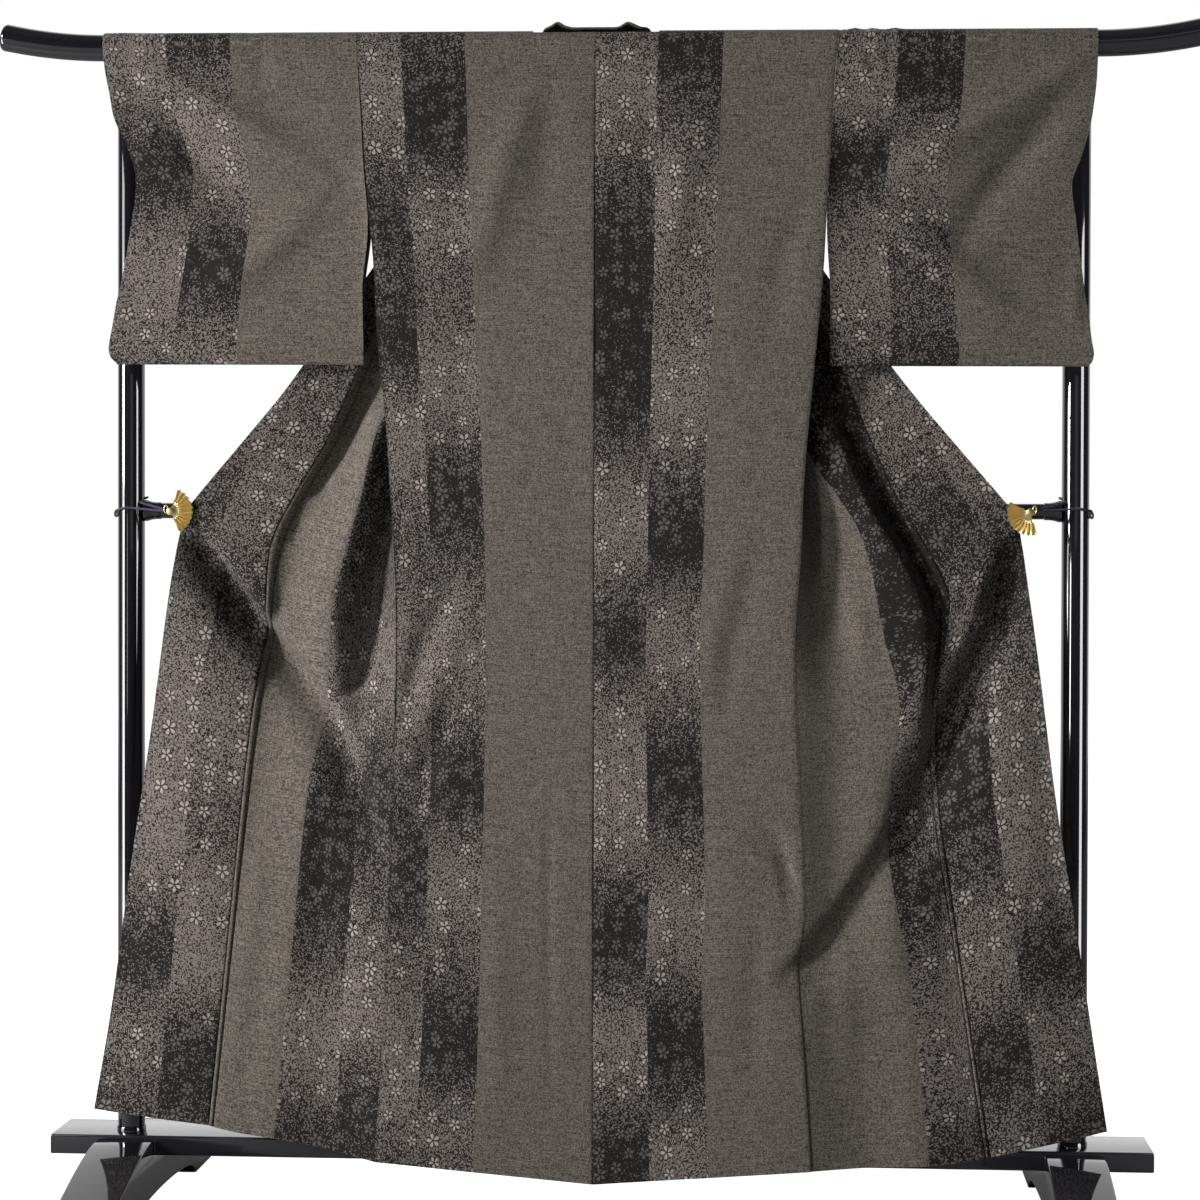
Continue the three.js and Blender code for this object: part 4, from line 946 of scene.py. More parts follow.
@dataclass(frozen=True)
class WovenCloth:
    """Cotton woven in bands: two shaded columns of small blossoms and a plain band, with painted shade along
    the seams.
    """

    column: float = 90.0
    repeat: float = 360.0
    stipple: float = 1.55
    stipple_edge: float = 0.09
    cloud: float = 0.35
    ink: Colour = (0.0120, 0.0092, 0.0082, 1)
    light: Colour = (0.225, 0.192, 0.172, 1)
    plain: Colour = (0.120, 0.104, 0.086, 1)
    petal_low: Colour = (0.115, 0.102, 0.096, 1)
    petal_high: Colour = (0.40, 0.35, 0.315, 1)
    small: Blossoms = Blossoms(24.0, 8.2, 3.0)
    large: Blossoms = Blossoms(34.0, 9.2, 8.0)
    weave_depth: float = 3.6
    speck_depth: float = 1.15
    fleck_depth: float = 2.0
    darkest: float = -0.8
    printed_weave: float = 0.30
    # Painted shade along the seams: the share of the colour that the third tone number takes away.
    painted_seam_shade: float = 0.8

    def specks(self, net: Net, place: object) -> Socket:
        """A random number for each small square of the cloth."""
        step = (self.stipple, self.stipple, 1.0)
        snapped = net.vector_math("SNAP", {0: place, 1: step})
        return net.node("ShaderNodeTexWhiteNoise", {"Vector": snapped}, noise_dimensions="2D").outputs[0]

    def printed(self, net: Net, place: object, tone: object, speck: object) -> Socket:
        """Colour of the flower columns.

        Args:
            net: the tree.
            place: place on the cloth in millimetres.
            tone: shade, from 0 for dark to 1 for light.
            speck: the random number of each small square.

        Returns:
            The colour.
        """
        grain = net.add(net.mul(speck, 0.84), net.mul(net.noise(place, 0.42, 1.0), 0.16))
        level = net.add(net.mul(tone, 0.56), 0.10)
        dot = net.ramp(net.sub(level, grain), -self.stipple_edge, self.stipple_edge)
        small, small_line = self.small.masks(net, place, net.sub(0.62, net.mul(tone, 0.32)))
        large, large_line = self.large.masks(net, place, net.add(net.mul(tone, 0.25), 0.30))
        dim = net.blend(net.mul(tone, 0.5), self.petal_low, self.petal_high)
        bright = net.blend(net.ramp(tone, 0.1, 0.75), self.petal_low, self.petal_high)
        ground = net.blend(dot, self.ink, self.light)
        ground = net.blend(net.mul(small_line, 0.75), ground, self.ink)
        ground = net.blend(net.mul(small, 0.85), ground, dim)
        ground = net.blend(net.mul(large_line, 0.85), ground, self.ink)
        return net.blend(large, ground, bright)

    def build(self) -> Material:
        """Makes the material.

        Returns:
            The material; it reads the UV map of the cut and the tone attribute, whose third number is painted
            shade along the seams.
        """
        material, net, shader = principled("banded_cotton")
        uv = net.node("ShaderNodeUVMap", uv_map="cut").outputs[0]
        place = net.vector_math("SCALE", {0: uv, "Scale": 1 / MM})
        x, y, _ = net.split(place)
        tones = net.split(net.node("ShaderNodeAttribute", attribute_name="tone").outputs["Vector"])
        within = net.math("FLOORED_MODULO", x, self.repeat)
        second = net.math("GREATER_THAN", within, self.column)
        plain = net.math("GREATER_THAN", within, 2 * self.column)
        cloud = net.mul(net.sub(net.noise(place, 0.035, 2.0), 0.5), self.cloud)
        tone = net.add(net.between(second, tones[0], tones[1]), cloud)
        tone = net.math("MINIMUM", net.math("MAXIMUM", tone, 0.0), 1.0)
        speck = self.specks(net, place)
        colour = net.blend(plain, self.printed(net, place, tone, speck), self.plain)
        slub = net.noise(net.vector(net.mul(x, 0.022), net.mul(y, 0.62)), 1.0, 2.0, 0.6)
        thread = net.noise(net.vector(net.mul(x, 0.7), net.mul(y, 0.05)), 1.0, 1.0)
        fleck = net.noise(net.vector(net.mul(x, 0.16), net.mul(y, 1.1)), 1.0, 2.0, 0.7)
        weave = net.add(net.mul(net.sub(slub, 0.5), 0.46), net.mul(net.sub(thread, 0.5), 0.22))
        weave = net.add(net.mul(weave, self.weave_depth), net.mul(net.sub(speck, 0.5), self.speck_depth))
        weave = net.add(weave, net.mul(net.sub(fleck, 0.5), self.fleck_depth))
        weave = net.math("MAXIMUM", weave, self.darkest)
        weave = net.add(1.0, net.mul(weave, net.between(plain, self.printed_weave, 1.0)))
        # Painted shade: the third tone number darkens the colour along the seams, where their grooves would
        # be shaded.
        factor = net.mul(weave, net.sub(1.0, net.mul(tones[2], self.painted_seam_shade)))
        net.fill(shader, {
            "Base Color": net.vector_math("SCALE", {0: colour, "Scale": factor}),
            "Roughness": 0.86, "Specular IOR Level": 0.22, "Sheen Weight": 0.10, "Sheen Roughness": 0.5,
            "Normal": net.bump(net.add(slub, net.mul(speck, 0.3)), 0.25, 0.0004),
        })
        return material


@dataclass(frozen=True)
class Lacquer:
    """Glossy black lacquer, with fine brushed lines where asked."""

    name: str = "black_lacquer"
    roughness: float = 0.06
    brushed: float = 0.0
    base: Colour = (0.006, 0.006, 0.008, 1)
    worn: float = 1.8
    across_brush: float = 420.0
    along_brush: float = 6.0

    def build(self) -> Material:
        """Makes the material.

        Returns:
            The material.
        """
        material, net, shader = principled(self.name)
        place = net.node("ShaderNodeTexCoord").outputs["Object"]
        x, y, z = net.split(place)
        dust = net.noise(place, 38.0, 3.0)
        strokes = net.vector(net.mul(x, self.along_brush), net.mul(y, self.across_brush),
                             net.mul(z, self.across_brush))
        lines = net.noise(strokes, 1.0, 2.0)
        rough = net.add(self.roughness, net.mul(net.sub(dust, 0.5), 0.05))
        dusty = tuple(min(c * self.worn, 1.0) for c in self.base)
        net.fill(shader, {
            "Base Color": net.blend(net.mul(dust, 0.4), self.base, dusty),
            "Roughness": net.add(rough, net.mul(net.sub(lines, 0.4), self.brushed)),
            "Specular IOR Level": 0.5, "Coat Weight": 0.6, "Coat Roughness": 0.04,
            "Normal": net.bump(net.add(dust, net.mul(lines, 6 * self.brushed)), 0.06, 0.0005),
        })
        return material


@dataclass(frozen=True)
class Gilt:
    """Polished gold plate, darker and rougher in random patches."""

    base: Colour = (0.90, 0.72, 0.33, 1)
    worn: Colour = (0.46, 0.33, 0.10, 1)
    smoothest: float = 0.36
    roughest: float = 0.42

    def build(self) -> Material:
        """Makes the material.

        Returns:
            The material.
        """
        material, net, shader = principled("polished_gold")
        grime = net.noise(net.node("ShaderNodeTexCoord").outputs["Object"], 260.0, 3.0)
        net.fill(shader, {
            "Base Color": net.blend(net.ramp(grime, 0.45, 0.85, 0.0, 0.25), self.base, self.worn),
            "Metallic": 1.0,
            "Roughness": net.ramp(grime, 0.2, 0.8, self.smoothest, self.roughest),
            "Normal": net.bump(grime, 0.02, 0.0002),
        })
        return material


@dataclass(frozen=True)
class Thread:
    """Matt spun thread or cord."""

    name: str
    base: Colour
    dark: Colour

    def build(self) -> Material:
        """Makes the material.

        Returns:
            The material.
        """
        material, net, shader = principled(self.name)
        fibre = net.noise(net.node("ShaderNodeTexCoord").outputs["Object"], 900.0, 2.0)
        net.fill(shader, {
            "Base Color": net.blend(net.ramp(fibre, 0.3, 0.7), self.dark, self.base),
            "Roughness": 0.7, "Sheen Weight": 0.3, "Normal": net.bump(fibre, 0.3, 0.0002),
        })
        return material


@dataclass(frozen=True)
class StudioPaper:
    """White paper of the studio floor."""

    dark: Colour = (0.44, 0.44, 0.44, 1)
    pale: Colour = (0.47, 0.47, 0.47, 1)

    def build(self) -> Material:
        """Makes the material.

        Returns:
            The material.
        """
        material, net, shader = principled("studio_paper")
        grain = net.noise(net.node("ShaderNodeTexCoord").outputs["Object"], 60.0, 2.0)
        net.fill(shader, {
            "Base Color": net.blend(grain, self.dark, self.pale),
            "Roughness": 0.9, "Specular IOR Level": 0.1, "Emission Color": (1, 1, 1, 1),
            "Emission Strength": net.node("ShaderNodeLightPath").outputs["Is Camera Ray"],
        })
        return material


# ------------------------------------------------------------------ garment
@dataclass
class Drape:
    """Shape of one half of the hanging garment, by length from the shoulder."""

    side: Side
    trough_outer: tuple[float, float] = (33.0, 46.0)
    trough_inner: float = 13.0
    trough_scale: float = 1.35
    trough_turn: float = 900.0
    crease_scale: float = 1.5
    rail_depth: float = 54.5
    free_depth: float = 112.0
    rail_half: float = 15.0
    rail_ease: float = 45.0
    rail_touch: float = 4.0
    seam_dip: float = 0.9
    lip: float = 1.5
    okumi_wave: float = 4.0
    turn_share: float = 0.38
    valley_share: float = 0.77

    def __post_init__(self) -> None:
        """Reads the half's tables."""
        s = self.side
        self.side_out = track(SIDE[s], 0, 1)
        self.cuff_out = track(CUFF[s], 0, 1)
        self.edge = [track(EDGE[s], 0, k) for k in (1, 2, 3)]
        self.seam = [track(SEAM[s], 0, k) for k in (1, 2, 3)]
        self.ridge = [track(RIDGE[s], 0, k) for k in (1, 2, 3)]
        self.fold = [track(FOLDS[s], 0, k) for k in (1, 2, 3, 4, 5, 6)]
        self.side_back = track(SIDE_BACK, 0, 1)

    def place(self, out: Array, back: Array, up: Array) -> Array:
        """Point from its place sideways, behind the back plane and above the floor."""
        return together(self.side.sign * out, BACK_Y + back, up)

    def clear_of_rail(self, back: Array, up: Array) -> Array:
        """Depth behind the back plane, kept in front of the rail.

        Args:
            back: depths.
            up: heights.

        Returns:
            The depths, eased where the cloth would pass the rail.
        """
        beyond = smooth((np.abs(up - RAIL_Z) - self.rail_half) / self.rail_ease)
        touch = mix(self.rail_depth, self.free_depth, beyond) - self.rail_touch
        eased = touch + self.rail_touch - self.rail_touch * np.exp(-(back - touch) / self.rail_touch)
        return np.where(back > touch, eased, back)

    def trough(self, out: Array, up: Array) -> Array:
        """Push of the long diagonal fold.

        Args:
            out: sideways places.
            up: heights.

        Returns:
            The pushes, steep on the inner side of the fold and slow on the outer one.
        """
        rows = TROUGH[self.side]
        outer = self.trough_outer[self.side is Side.RIGHT]
        best, depth = np.full(np.shape(out), np.inf), np.zeros(np.shape(out))
        wide = np.full(np.shape(out), self.trough_inner)
        for a, b in zip(rows[:-1], rows[1:]):
            t, far = to_segment(out, up, a, b)
            nearer = far < best
            best = np.where(nearer, far, best)
            depth = np.where(nearer, mix(a[2], b[2], t), depth)
            turn = (b[0] - a[0]) * (up - a[1]) - (b[1] - a[1]) * (out - a[0])
            inner = smooth(0.5 - turn / self.trough_turn)
            wide = np.where(nearer, mix(outer, self.trough_inner, inner), wide)
        return self.trough_scale * depth * bell(best, wide)

    def soft(self, out: Array, up: Array) -> Array:
        """Push of the low folds.

        Args:
            out: sideways places.
            up: heights.

        Returns:
            The pushes.
        """
        total = np.zeros(np.shape(out))
        for a_out, a_up, b_out, b_up, depth, width in SOFT_FOLDS[self.side]:
            t, far = to_segment(out, up, (a_out, a_up), (b_out, b_up))
            total += depth * np.sin(math.pi * mix(0.12, 0.88, t)) * bell(far, width)
        return total

    def crease(self, part: Part, out: Array, up: Array) -> Array:
        """Push of the fine creases of one part.

        Args:
            part: the part of the cloth.
            out: sideways places.
            up: heights.

        Returns:
            The pushes, fading towards both ends of each crease.
        """
        total = np.zeros(np.shape(out))
        for depth, width, chain in CREASES[part, self.side]:
            lengths = [math.dist(a, b) for a, b in zip(chain[:-1], chain[1:])]
            whole, done = sum(lengths), 0.0
            best, share = np.full(np.shape(out), np.inf), np.zeros(np.shape(out))
            for a, b, size in zip(chain[:-1], chain[1:], lengths):
                t, far = to_segment(out, up, a, b)
                nearer = far < best
                best = np.where(nearer, far, best)
                share = np.where(nearer, (done + t * size) / whole, share)
                done += size
            swell = np.sin(math.pi * mix(0.06, 0.94, share)) ** 0.8
            total += self.crease_scale * depth * swell * bell(best, width * (0.75 + 0.5 * swell))
        return total

    def ripple(self, out: Array, up: Array, seed: float) -> Array:
        """Small unevenness of woven cloth, a long wave and a short one.

        Args:
            out: sideways places.
            up: heights.
            seed: shifts the waves.

        Returns:
            The pushes.
        """
        bent = out * 0.021 + seed + 1.7 * np.sin(up * 0.0043 + seed)
        long = np.sin(bent) * np.sin(up * 0.0061 + 2.1 * seed)
        short = np.sin(out * 0.063 + up * 0.017 + 3 * seed) * np.sin(up * 0.019 - out * 0.011 + seed)
        return 0.9 * long + 0.35 * short

    def thread_up(self, length: Array, share: Array) -> Array:
        """Height of the cloth's thread at a length from the shoulder."""
        hem = mix(HEM_CENTRE, HEM[self.side], share)
        return ROD_Z - (length - QUARTER) * (ROD_Z - hem) / (LENGTH - QUARTER)

    def back(self, length: Array, cloth: Array) -> Array:
        """Back panel.

        Args:
            length: cloth from the shoulder, a row each.
            cloth: cloth from the back seam, a column each.

        Returns:
            The grid of points.
        """
        length, share = length[:, None], cloth[None, :] / SHOULDER
        up = self.thread_up(length, share)
        drop = ROD_Z - up
        out = mix(BACK_SEAM, self.side_out(up), share)
        push = self.trough(out, up) + self.soft(out, up) * smooth((1 - share) * 9)
        push = push + self.crease(Part.BACK, out, up) + self.ripple(out, up, 1.0 + self.side.sign) * 0.8
        seams = self.seam_dip * (bell(share * SHOULDER, 1.6) + bell((1 - share) * SHOULDER, 2.2))
        return self.place(out, push * smooth(drop / 120) + seams * smooth(drop / 60), up)

    def front(self, length: Array, cloth: Array) -> Array:
        """Front panel, from the okumi seam to the side seam.

        Args:
            length: cloth from the shoulder, a row each.
            cloth: cloth from the back seam, a column each.

        Returns:
            The grid of points.
        """
        side_up = self.thread_up(length, np.ones_like(length))
        ridge, seam = (np.stack([t(length) for t in row]) for row in (self.ridge, self.seam))
        v1_out, v1_back, turn_out, turn_back, v2_out, v2_back = (t(length) for t in self.fold)
        up = np.stack([seam[1], mix(ridge[1], seam[1], self.valley_share),
                       mix(ridge[1], seam[1], self.turn_share), ridge[1],
                       mix(side_up, ridge[1], 0.5), side_up], axis=1)
        out = np.stack([seam[0], v2_out, turn_out, ridge[0], v1_out, self.side_out(side_up)], axis=1)
        back = np.stack([seam[2], v2_back, turn_back, ridge[2], v1_back, self.side_back(length)], axis=1)
        at = np.maximum(cloth, NECK)
        out, up, back = (across(KNOTS, grid, at) for grid in (out, up, back))
        fade = smooth((length[:, None] - 60) / 160)
        calm = smooth((SHOULDER - at) / 30)[None, :]
        fine = self.crease(Part.FRONT, out, up) + self.ripple(out, up, 4.0) * 0.9
        groove = sum(depth * bell(at - NECK - start, width) for start, depth, width in SEAM_GROOVE)
        back = back + self.trough(out, up) + fine * fade * calm + groove[None, :] * fade
        return self.place(out, self.clear_of_rail(back, up), up)

    def okumi(self, length: Array, share: Array) -> Array:
        """Okumi, from its seam to the collar seam or the free edge.

        Args:
            length: cloth from the shoulder, a row each.
            share: share of the width, a column each.

        Returns:
            The grid of points.
        """
        seam, edge = (np.stack([t(length) for t in row])[..., None] for row in (self.seam, self.edge))
        out, up, back = (mix(seam[k], edge[k], share[None, :]) for k in (0, 1, 2))
        low = smooth((length[:, None] - COLLAR_END) / 200)
        wave = self.okumi_wave * low * np.sin(math.pi * share)[None, :]
        fade = smooth((length[:, None] - 250) / 160)
        fine = self.crease(Part.OKUMI, out, up) + self.ripple(out, up, 7.0) * 0.8
        lip = self.lip * bell(share * OKUMI_WIDTH, 1.3) * fade
        back = back - wave + self.trough(out, up) + fine * fade + lip
        return self.place(out, self.clear_of_rail(back, up), up)

    def over_rod(self, out: Array, angle: Array, radius: float = WRAP) -> Array:
        """Cloth on the rod; half a turn is the side of the back."""
        return together(self.side.sign * out, ROD_Y + radius * np.cos(angle), ROD_Z + radius * np.sin(angle))

    def sleeve_out(self, up: Array, share: Array | float) -> Array:
        """Sideways place in a sleeve, from the armhole to the cuff."""
        inner = mix(325, self.side_out(up) + GAP, smooth((up - 1300) / 130))
        return mix(inner, self.cuff_out(up), share)

    def sleeve_layer(self, drops: Array, share: Array, near: bool) -> Array:
        """One layer of the sleeve.

        Args:
            drops: distance below the rod, a row each.
            share: share of the way to the cuff, a column each.
            near: whether it is the layer on the side of the back.

        Returns:
            The grid of points.
        """
        drop, share = drops[:, None], share[None, :]
        up = ROD_Z - drop
        out = self.sleeve_out(up, share)
        armhole = track(SLEEVE_NEAR if near else SLEEVE_FAR, 0, 1)(drop)
        half = mix(armhole, track(SLEEVE_MOUTH, 0, 1)(drop), np.sqrt(share))
        fade = smooth(drop / 110) * smooth(share * 7) * smooth((1 - share) * 5 + 0.25)
        tight = smooth(drop / 30) * smooth((SLEEVE_DROP - drop) / 60) * smooth(share * 40 + 0.1)
        fine = self.crease(Part.SLEEVE, out, up if near else up + 14)
        fine = fine + self.ripple(out, up, 2.0 if near else 5.0) * 0.7
        y = ROD_Y + (-half if near else half) + self.soft(out, up) * fade + fine * tight
        return together(self.side.sign * out, y, up)


def tone_rows(part: Part, side: Side, at: Array) -> Array:
    """Shade of the two flower columns at lengths along the cloth.

    Args:
        part: part of the garment.
        side: its side.
        at: lengths from the shoulder.

    Returns:
        The two shades and a zero for the painted shade of the seams, for each length.
    """
    first, second = TONES[part, side]
    shades = [track(first, 0, 1)(at) / 100, track(second, 0, 1)(at) / 100]
    return together(*shades, np.zeros(np.shape(at)))


@dataclass
class Half:
    """The body panel, okumi and sleeve of one side."""

    side: Side
    material: Material
    wall: float = 1.1
    step: float = 7.0
    body_cols: int = 66
    neck_cols: int = 12
    okumi_cols: int = 30
    arc_steps: int = 14
    sleeve_cols: int = 64
    fold_margin: float = 8.0
    drape: Drape = field(init=False)

    def __post_init__(self) -> None:
        """Prepares the shape of the half."""
        self.drape = Drape(self.side)

    def fabric(self, cloth: Array) -> Array:
        """Place across the woven width for cloth from the back seam."""
        return 362 - cloth if self.side is Side.LEFT else cloth + 3

    def arc(self) -> Array:
        """Angles over the rod, from the side of the back."""
        return np.linspace(math.pi, 0, self.arc_steps)[:, None]

    def body(self) -> None:
        """Makes the body panel, back and front in one length over the rod."""
        beside_back = [0, 0.7, 1.5, 2.6]
        beside_okumi = NECK + np.array([0.8, 1.8, 3.2, 5.5, 8.0, 9.6, 11.0, 12.6, 15.0])
        rest = self.body_cols - self.neck_cols - len(beside_okumi)
        cloth = np.concatenate([beside_back, np.linspace(0, NECK, self.neck_cols + 1)[1:], beside_okumi,
                                np.linspace(beside_okumi[-1], SHOULDER, rest + 1)[1:]])
        rows = np.linspace(QUARTER + 4, LENGTH, int((LENGTH - QUARTER) / self.step))
        angle = self.arc()
        edge = self.drape.side_out(ROD_Z + WRAP * np.sin(angle))
        outer = mix(NECK, edge, (cloth[None, :] - NECK) / (SHOULDER - NECK))
        arc_out = np.where(cloth[None, :] <= NECK, np.maximum(cloth[None, :], BACK_SEAM), outer)
        points = np.concatenate([self.drape.back(rows[::-1], cloth), self.drape.over_rod(arc_out, angle),
                                 self.drape.front(rows, cloth)])
        at = np.concatenate([-rows[::-1], (math.pi / 2 - angle[:, 0]) * WRAP, rows])
        keep = np.ones((len(at) - 1, len(cloth) - 1), bool)
        keep[at[1:] > -self.fold_margin, :self.neck_cols + len(beside_back) - 1] = False
        uv = together(self.fabric(cloth)[None, :], at[:, None])
        shell = Shell(f"cloth_body_{self.side.value}", points, keep, self.wall, uv,
                      self.body_tone(at, cloth, points.shape))
        obj = shell.build(self.material)
        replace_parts(obj, f"body_{self.side.value}")

    def body_tone(self, at: Array, cloth: Array, shape: tuple[int, ...]) -> Array:
        """Shade of the columns on the body, and painted shade along its seams.

        Args:
            at: lengths from the shoulder, negative on the back.
            cloth: cloth from the back seam.
            shape: shape of the grid of points.

        Returns:
            The three numbers of the tone attribute at each point.
        """
        run = np.maximum(np.abs(at) - 11.0, 0)
        shades = mix(tone_rows(Part.BACK, self.side, run), tone_rows(Part.FRONT, self.side, run),
                     smooth((at[:, None] + 20) / 40))
        tone = np.array(np.broadcast_to(shades[:, None, :], shape))
        back_half, front_half = smooth(-at / 40)[:, None], smooth((at - 60) / 60)[:, None]
        cloth = cloth[None, :]
        beside = cloth - NECK
        # Painted shade along the back seam, along the okumi seam with a second line beside it, and along the
        # side seam.
        okumi_seam_shade = (bell(beside, 1.0) + 0.7 * bell(beside - 11, 1.2)) * (beside >= 0)
        tone[..., 2] = (bell(cloth, 0.9) * back_half + okumi_seam_shade * front_half
                        + 0.5 * bell(SHOULDER - cloth, 1.5))
        return tone

    def okumi(self) -> None:
        """Makes the okumi."""
        share = np.concatenate([[0, 0.006, 0.014, 0.026], np.linspace(0.045, 0.98, self.okumi_cols),
                                [0.992, 1]])
        length = np.linspace(OKUMI_TOP + 3, LENGTH, int((LENGTH - OKUMI_TOP) / self.step))
        points = self.drape.okumi(length, share)
        width = np.linalg.norm(points[:, -1] - points[:, 0], axis=1)[:, None]
        start = 166.0 if self.side is Side.LEFT else 168.0
        uv = together(start - share[None, :] * width, length[:, None])
        tone = np.array(np.broadcast_to(tone_rows(Part.OKUMI, self.side, length)[:, None, :], points.shape))
        # Painted shade along the okumi's seam edge.
        tone[..., 2] = bell(share[None, :] * OKUMI_WIDTH, 1.2)
        keep = np.ones((len(length) - 1, len(share) - 1), bool)
        shell = Shell(f"cloth_okumi_{self.side.value}", points, keep, self.wall, uv, tone)
        obj = shell.build(self.material)
        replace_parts(obj, f"okumi_{self.side.value}")

    def sleeve(self) -> None:
        """Makes the sleeve, a tube along the rod closed at its foot."""
        drape = self.drape
        share = np.linspace(0, 1, self.sleeve_cols)
        foot = SLEEVE_DROP - np.array([1.5, 4, 9])
        drops = np.concatenate([foot, np.linspace(427, 4, int(430 / self.step))])
        near = drape.sleeve_layer(drops, share, True)
        far = drape.sleeve_layer(drops, share, False)[::-1]
        angle = self.arc()
        arc = drape.over_rod(drape.sleeve_out(ROD_Z + WRAP * np.sin(angle), share[None, :]), angle)
        ruck = drape.crease(Part.SLEEVE, np.abs(arc[..., 0]), np.full(arc.shape[:2], 1650.0))
        arc[..., 2] -= ruck * np.sin(angle) * 0.9
        low = near[0].copy()
        low[:, 1] = (near[0, :, 1] + far[-1, :, 1]) / 2
        low[:, 2] = ROD_Z - SLEEVE_DROP
        points = np.concatenate([low[None], near, arc, far]).transpose(1, 0, 2)
        at = np.concatenate([[-SLEEVE_DROP], -drops, (math.pi / 2 - angle[:, 0]) * 12, drops[::-1]])
        width = (1 - share) * SLEEVE_WIDTH + 0.5 if self.side is Side.LEFT else share * 350 + 8
        uv = together(width[:, None], at[None, :])
        tone = np.broadcast_to(tone_rows(Part.SLEEVE, self.side, np.abs(at) + 12)[None], points.shape)
        keep = np.ones((points.shape[0] - 1, points.shape[1]), bool)
        shell = Shell(f"cloth_sleeve_{self.side.value}", points, keep, self.wall, uv, tone, wrap=True)
        obj = shell.build(self.material)
        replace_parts(obj, f"sleeve_{self.side.value}")


@dataclass
class Collar:
    """Doubled band round the neck and down both fronts."""

    material: Material
    wall: float = 2.2
    width: float = 55.0
    slope: float = 0.25
    lap: float = 1.0
    lean_in: float = 0.78
    solid_wall: float = 2.4
    rows: int = 420
    cols: int = 12
    start_degrees: float = 116.0
    drop_share: float = 0.6
    fabric: float = 262.0
    lengths: tuple[float, ...] = (45, 60, 80, 105, 140, 185, 230, 280, 340, 410, 480, 550, 620, 690, 765)
    turns: tuple[float, ...] = (1, 0.8, 0.6, 0.4, 0.2, 0)
    neck_places: tuple[float, ...] = (53, 44, 32, 18)

    def lift(self, side: Side, out: float) -> float:
        """Height of the collar above the rod across the back neck."""
        middle = 53.0 if side is Side.LEFT else 46.0
        return 2.2 + 8.0 * math.exp(-((out - middle) / 9) ** 2)

    def neck(self, drape: Drape, out: float, turn: float) -> Array:
        """Section across the back neck and round its turn.

        Args:
            drape: the half that it lies on.
            out: sideways place.
            turn: share of the turn into the lapel.

        Returns:
            The points of the section.
        """
        radius = WRAP + HALF_WALL + GAP + self.solid_wall / 2
        w = np.linspace(0, self.width, self.cols)
        start = math.radians(self.start_degrees) * (1 - turn)
        arc = np.minimum(w, start * radius)
        rest = w - arc
        angle = start - arc / radius
        p = drape.over_rod(out - self.lean_in * turn * w, angle, radius)
        lift = self.lift(drape.side, out) * np.maximum(np.sin(angle), 0) * (1 - turn)
        p[:, 2] += lift - rest * mix(1, self.drop_share, turn)
        p[:, 1] += rest * self.slope
        return p

    def lapel(self, drape: Drape, length: float) -> Array:
        """Section along the front, behind its seam.

        Args:
            drape: the half that it lies on.
            length: length from the shoulder.

        Returns:
            The points of the section.
        """
        line = drape.edge if length > OKUMI_TOP else drape.seam
        w = np.linspace(0, self.width, self.cols)
        run = np.array([float(line[k](length + 6) - line[k](length - 6)) for k in (0, 1)])
        run /= np.linalg.norm(run)
        share = smooth((length - 60) / 120)
        out = line[0](length) - mix(self.lean_in, -run[1], share) * w
        up = line[1](length) - mix(self.drop_share, run[0], share) * w
        back = line[2](length) + HALF_WALL + self.solid_wall / 2 + self.lap + self.slope * w
        push = np.maximum(drape.trough(line[0](length), line[1](length)), drape.trough(out, up))
        return drape.place(out, back + push, up)

    def build(self) -> None:
        """Makes the collar."""
        sections: list[Array] = []
        for side in Side:
            drape = Drape(side)
            half = [self.lapel(drape, v) for v in reversed(self.lengths)]
            half += [self.neck(drape, float(mix(62, 91, t)), float(smooth(t))) for t in self.turns]
            half += [self.neck(drape, out, 0.0) for out in self.neck_places]
            sections += half + [self.neck(drape, 0.0, 0.0)] if side is Side.LEFT else half[::-1]
        rough = np.stack(sections)
        step = np.linalg.norm(np.diff(rough[:, 0], axis=0), axis=1)
        at = np.concatenate([[0], np.cumsum(np.maximum(step, 1.0))])
        fine = np.linspace(0, at[-1], self.rows)
        columns = [Track(at, column)(fine) for column in rough.reshape(len(at), -1).T]
        points = np.stack(columns, axis=1).reshape(self.rows, self.cols, 3)
        w = np.linspace(0, self.width, self.cols)
        uv = together(self.fabric + w[None, :], fine[:, None])
        # The third number, 0.5, darkens the whole collar through the painted seam shade of the cloth.
        tone = np.full(points.shape, 0.5)
        keep = np.ones((self.rows - 1, self.cols - 1), bool)
        obj = Shell("cloth_collar", points, keep, self.wall, uv, tone).build(self.material)
        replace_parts(obj, "collar")


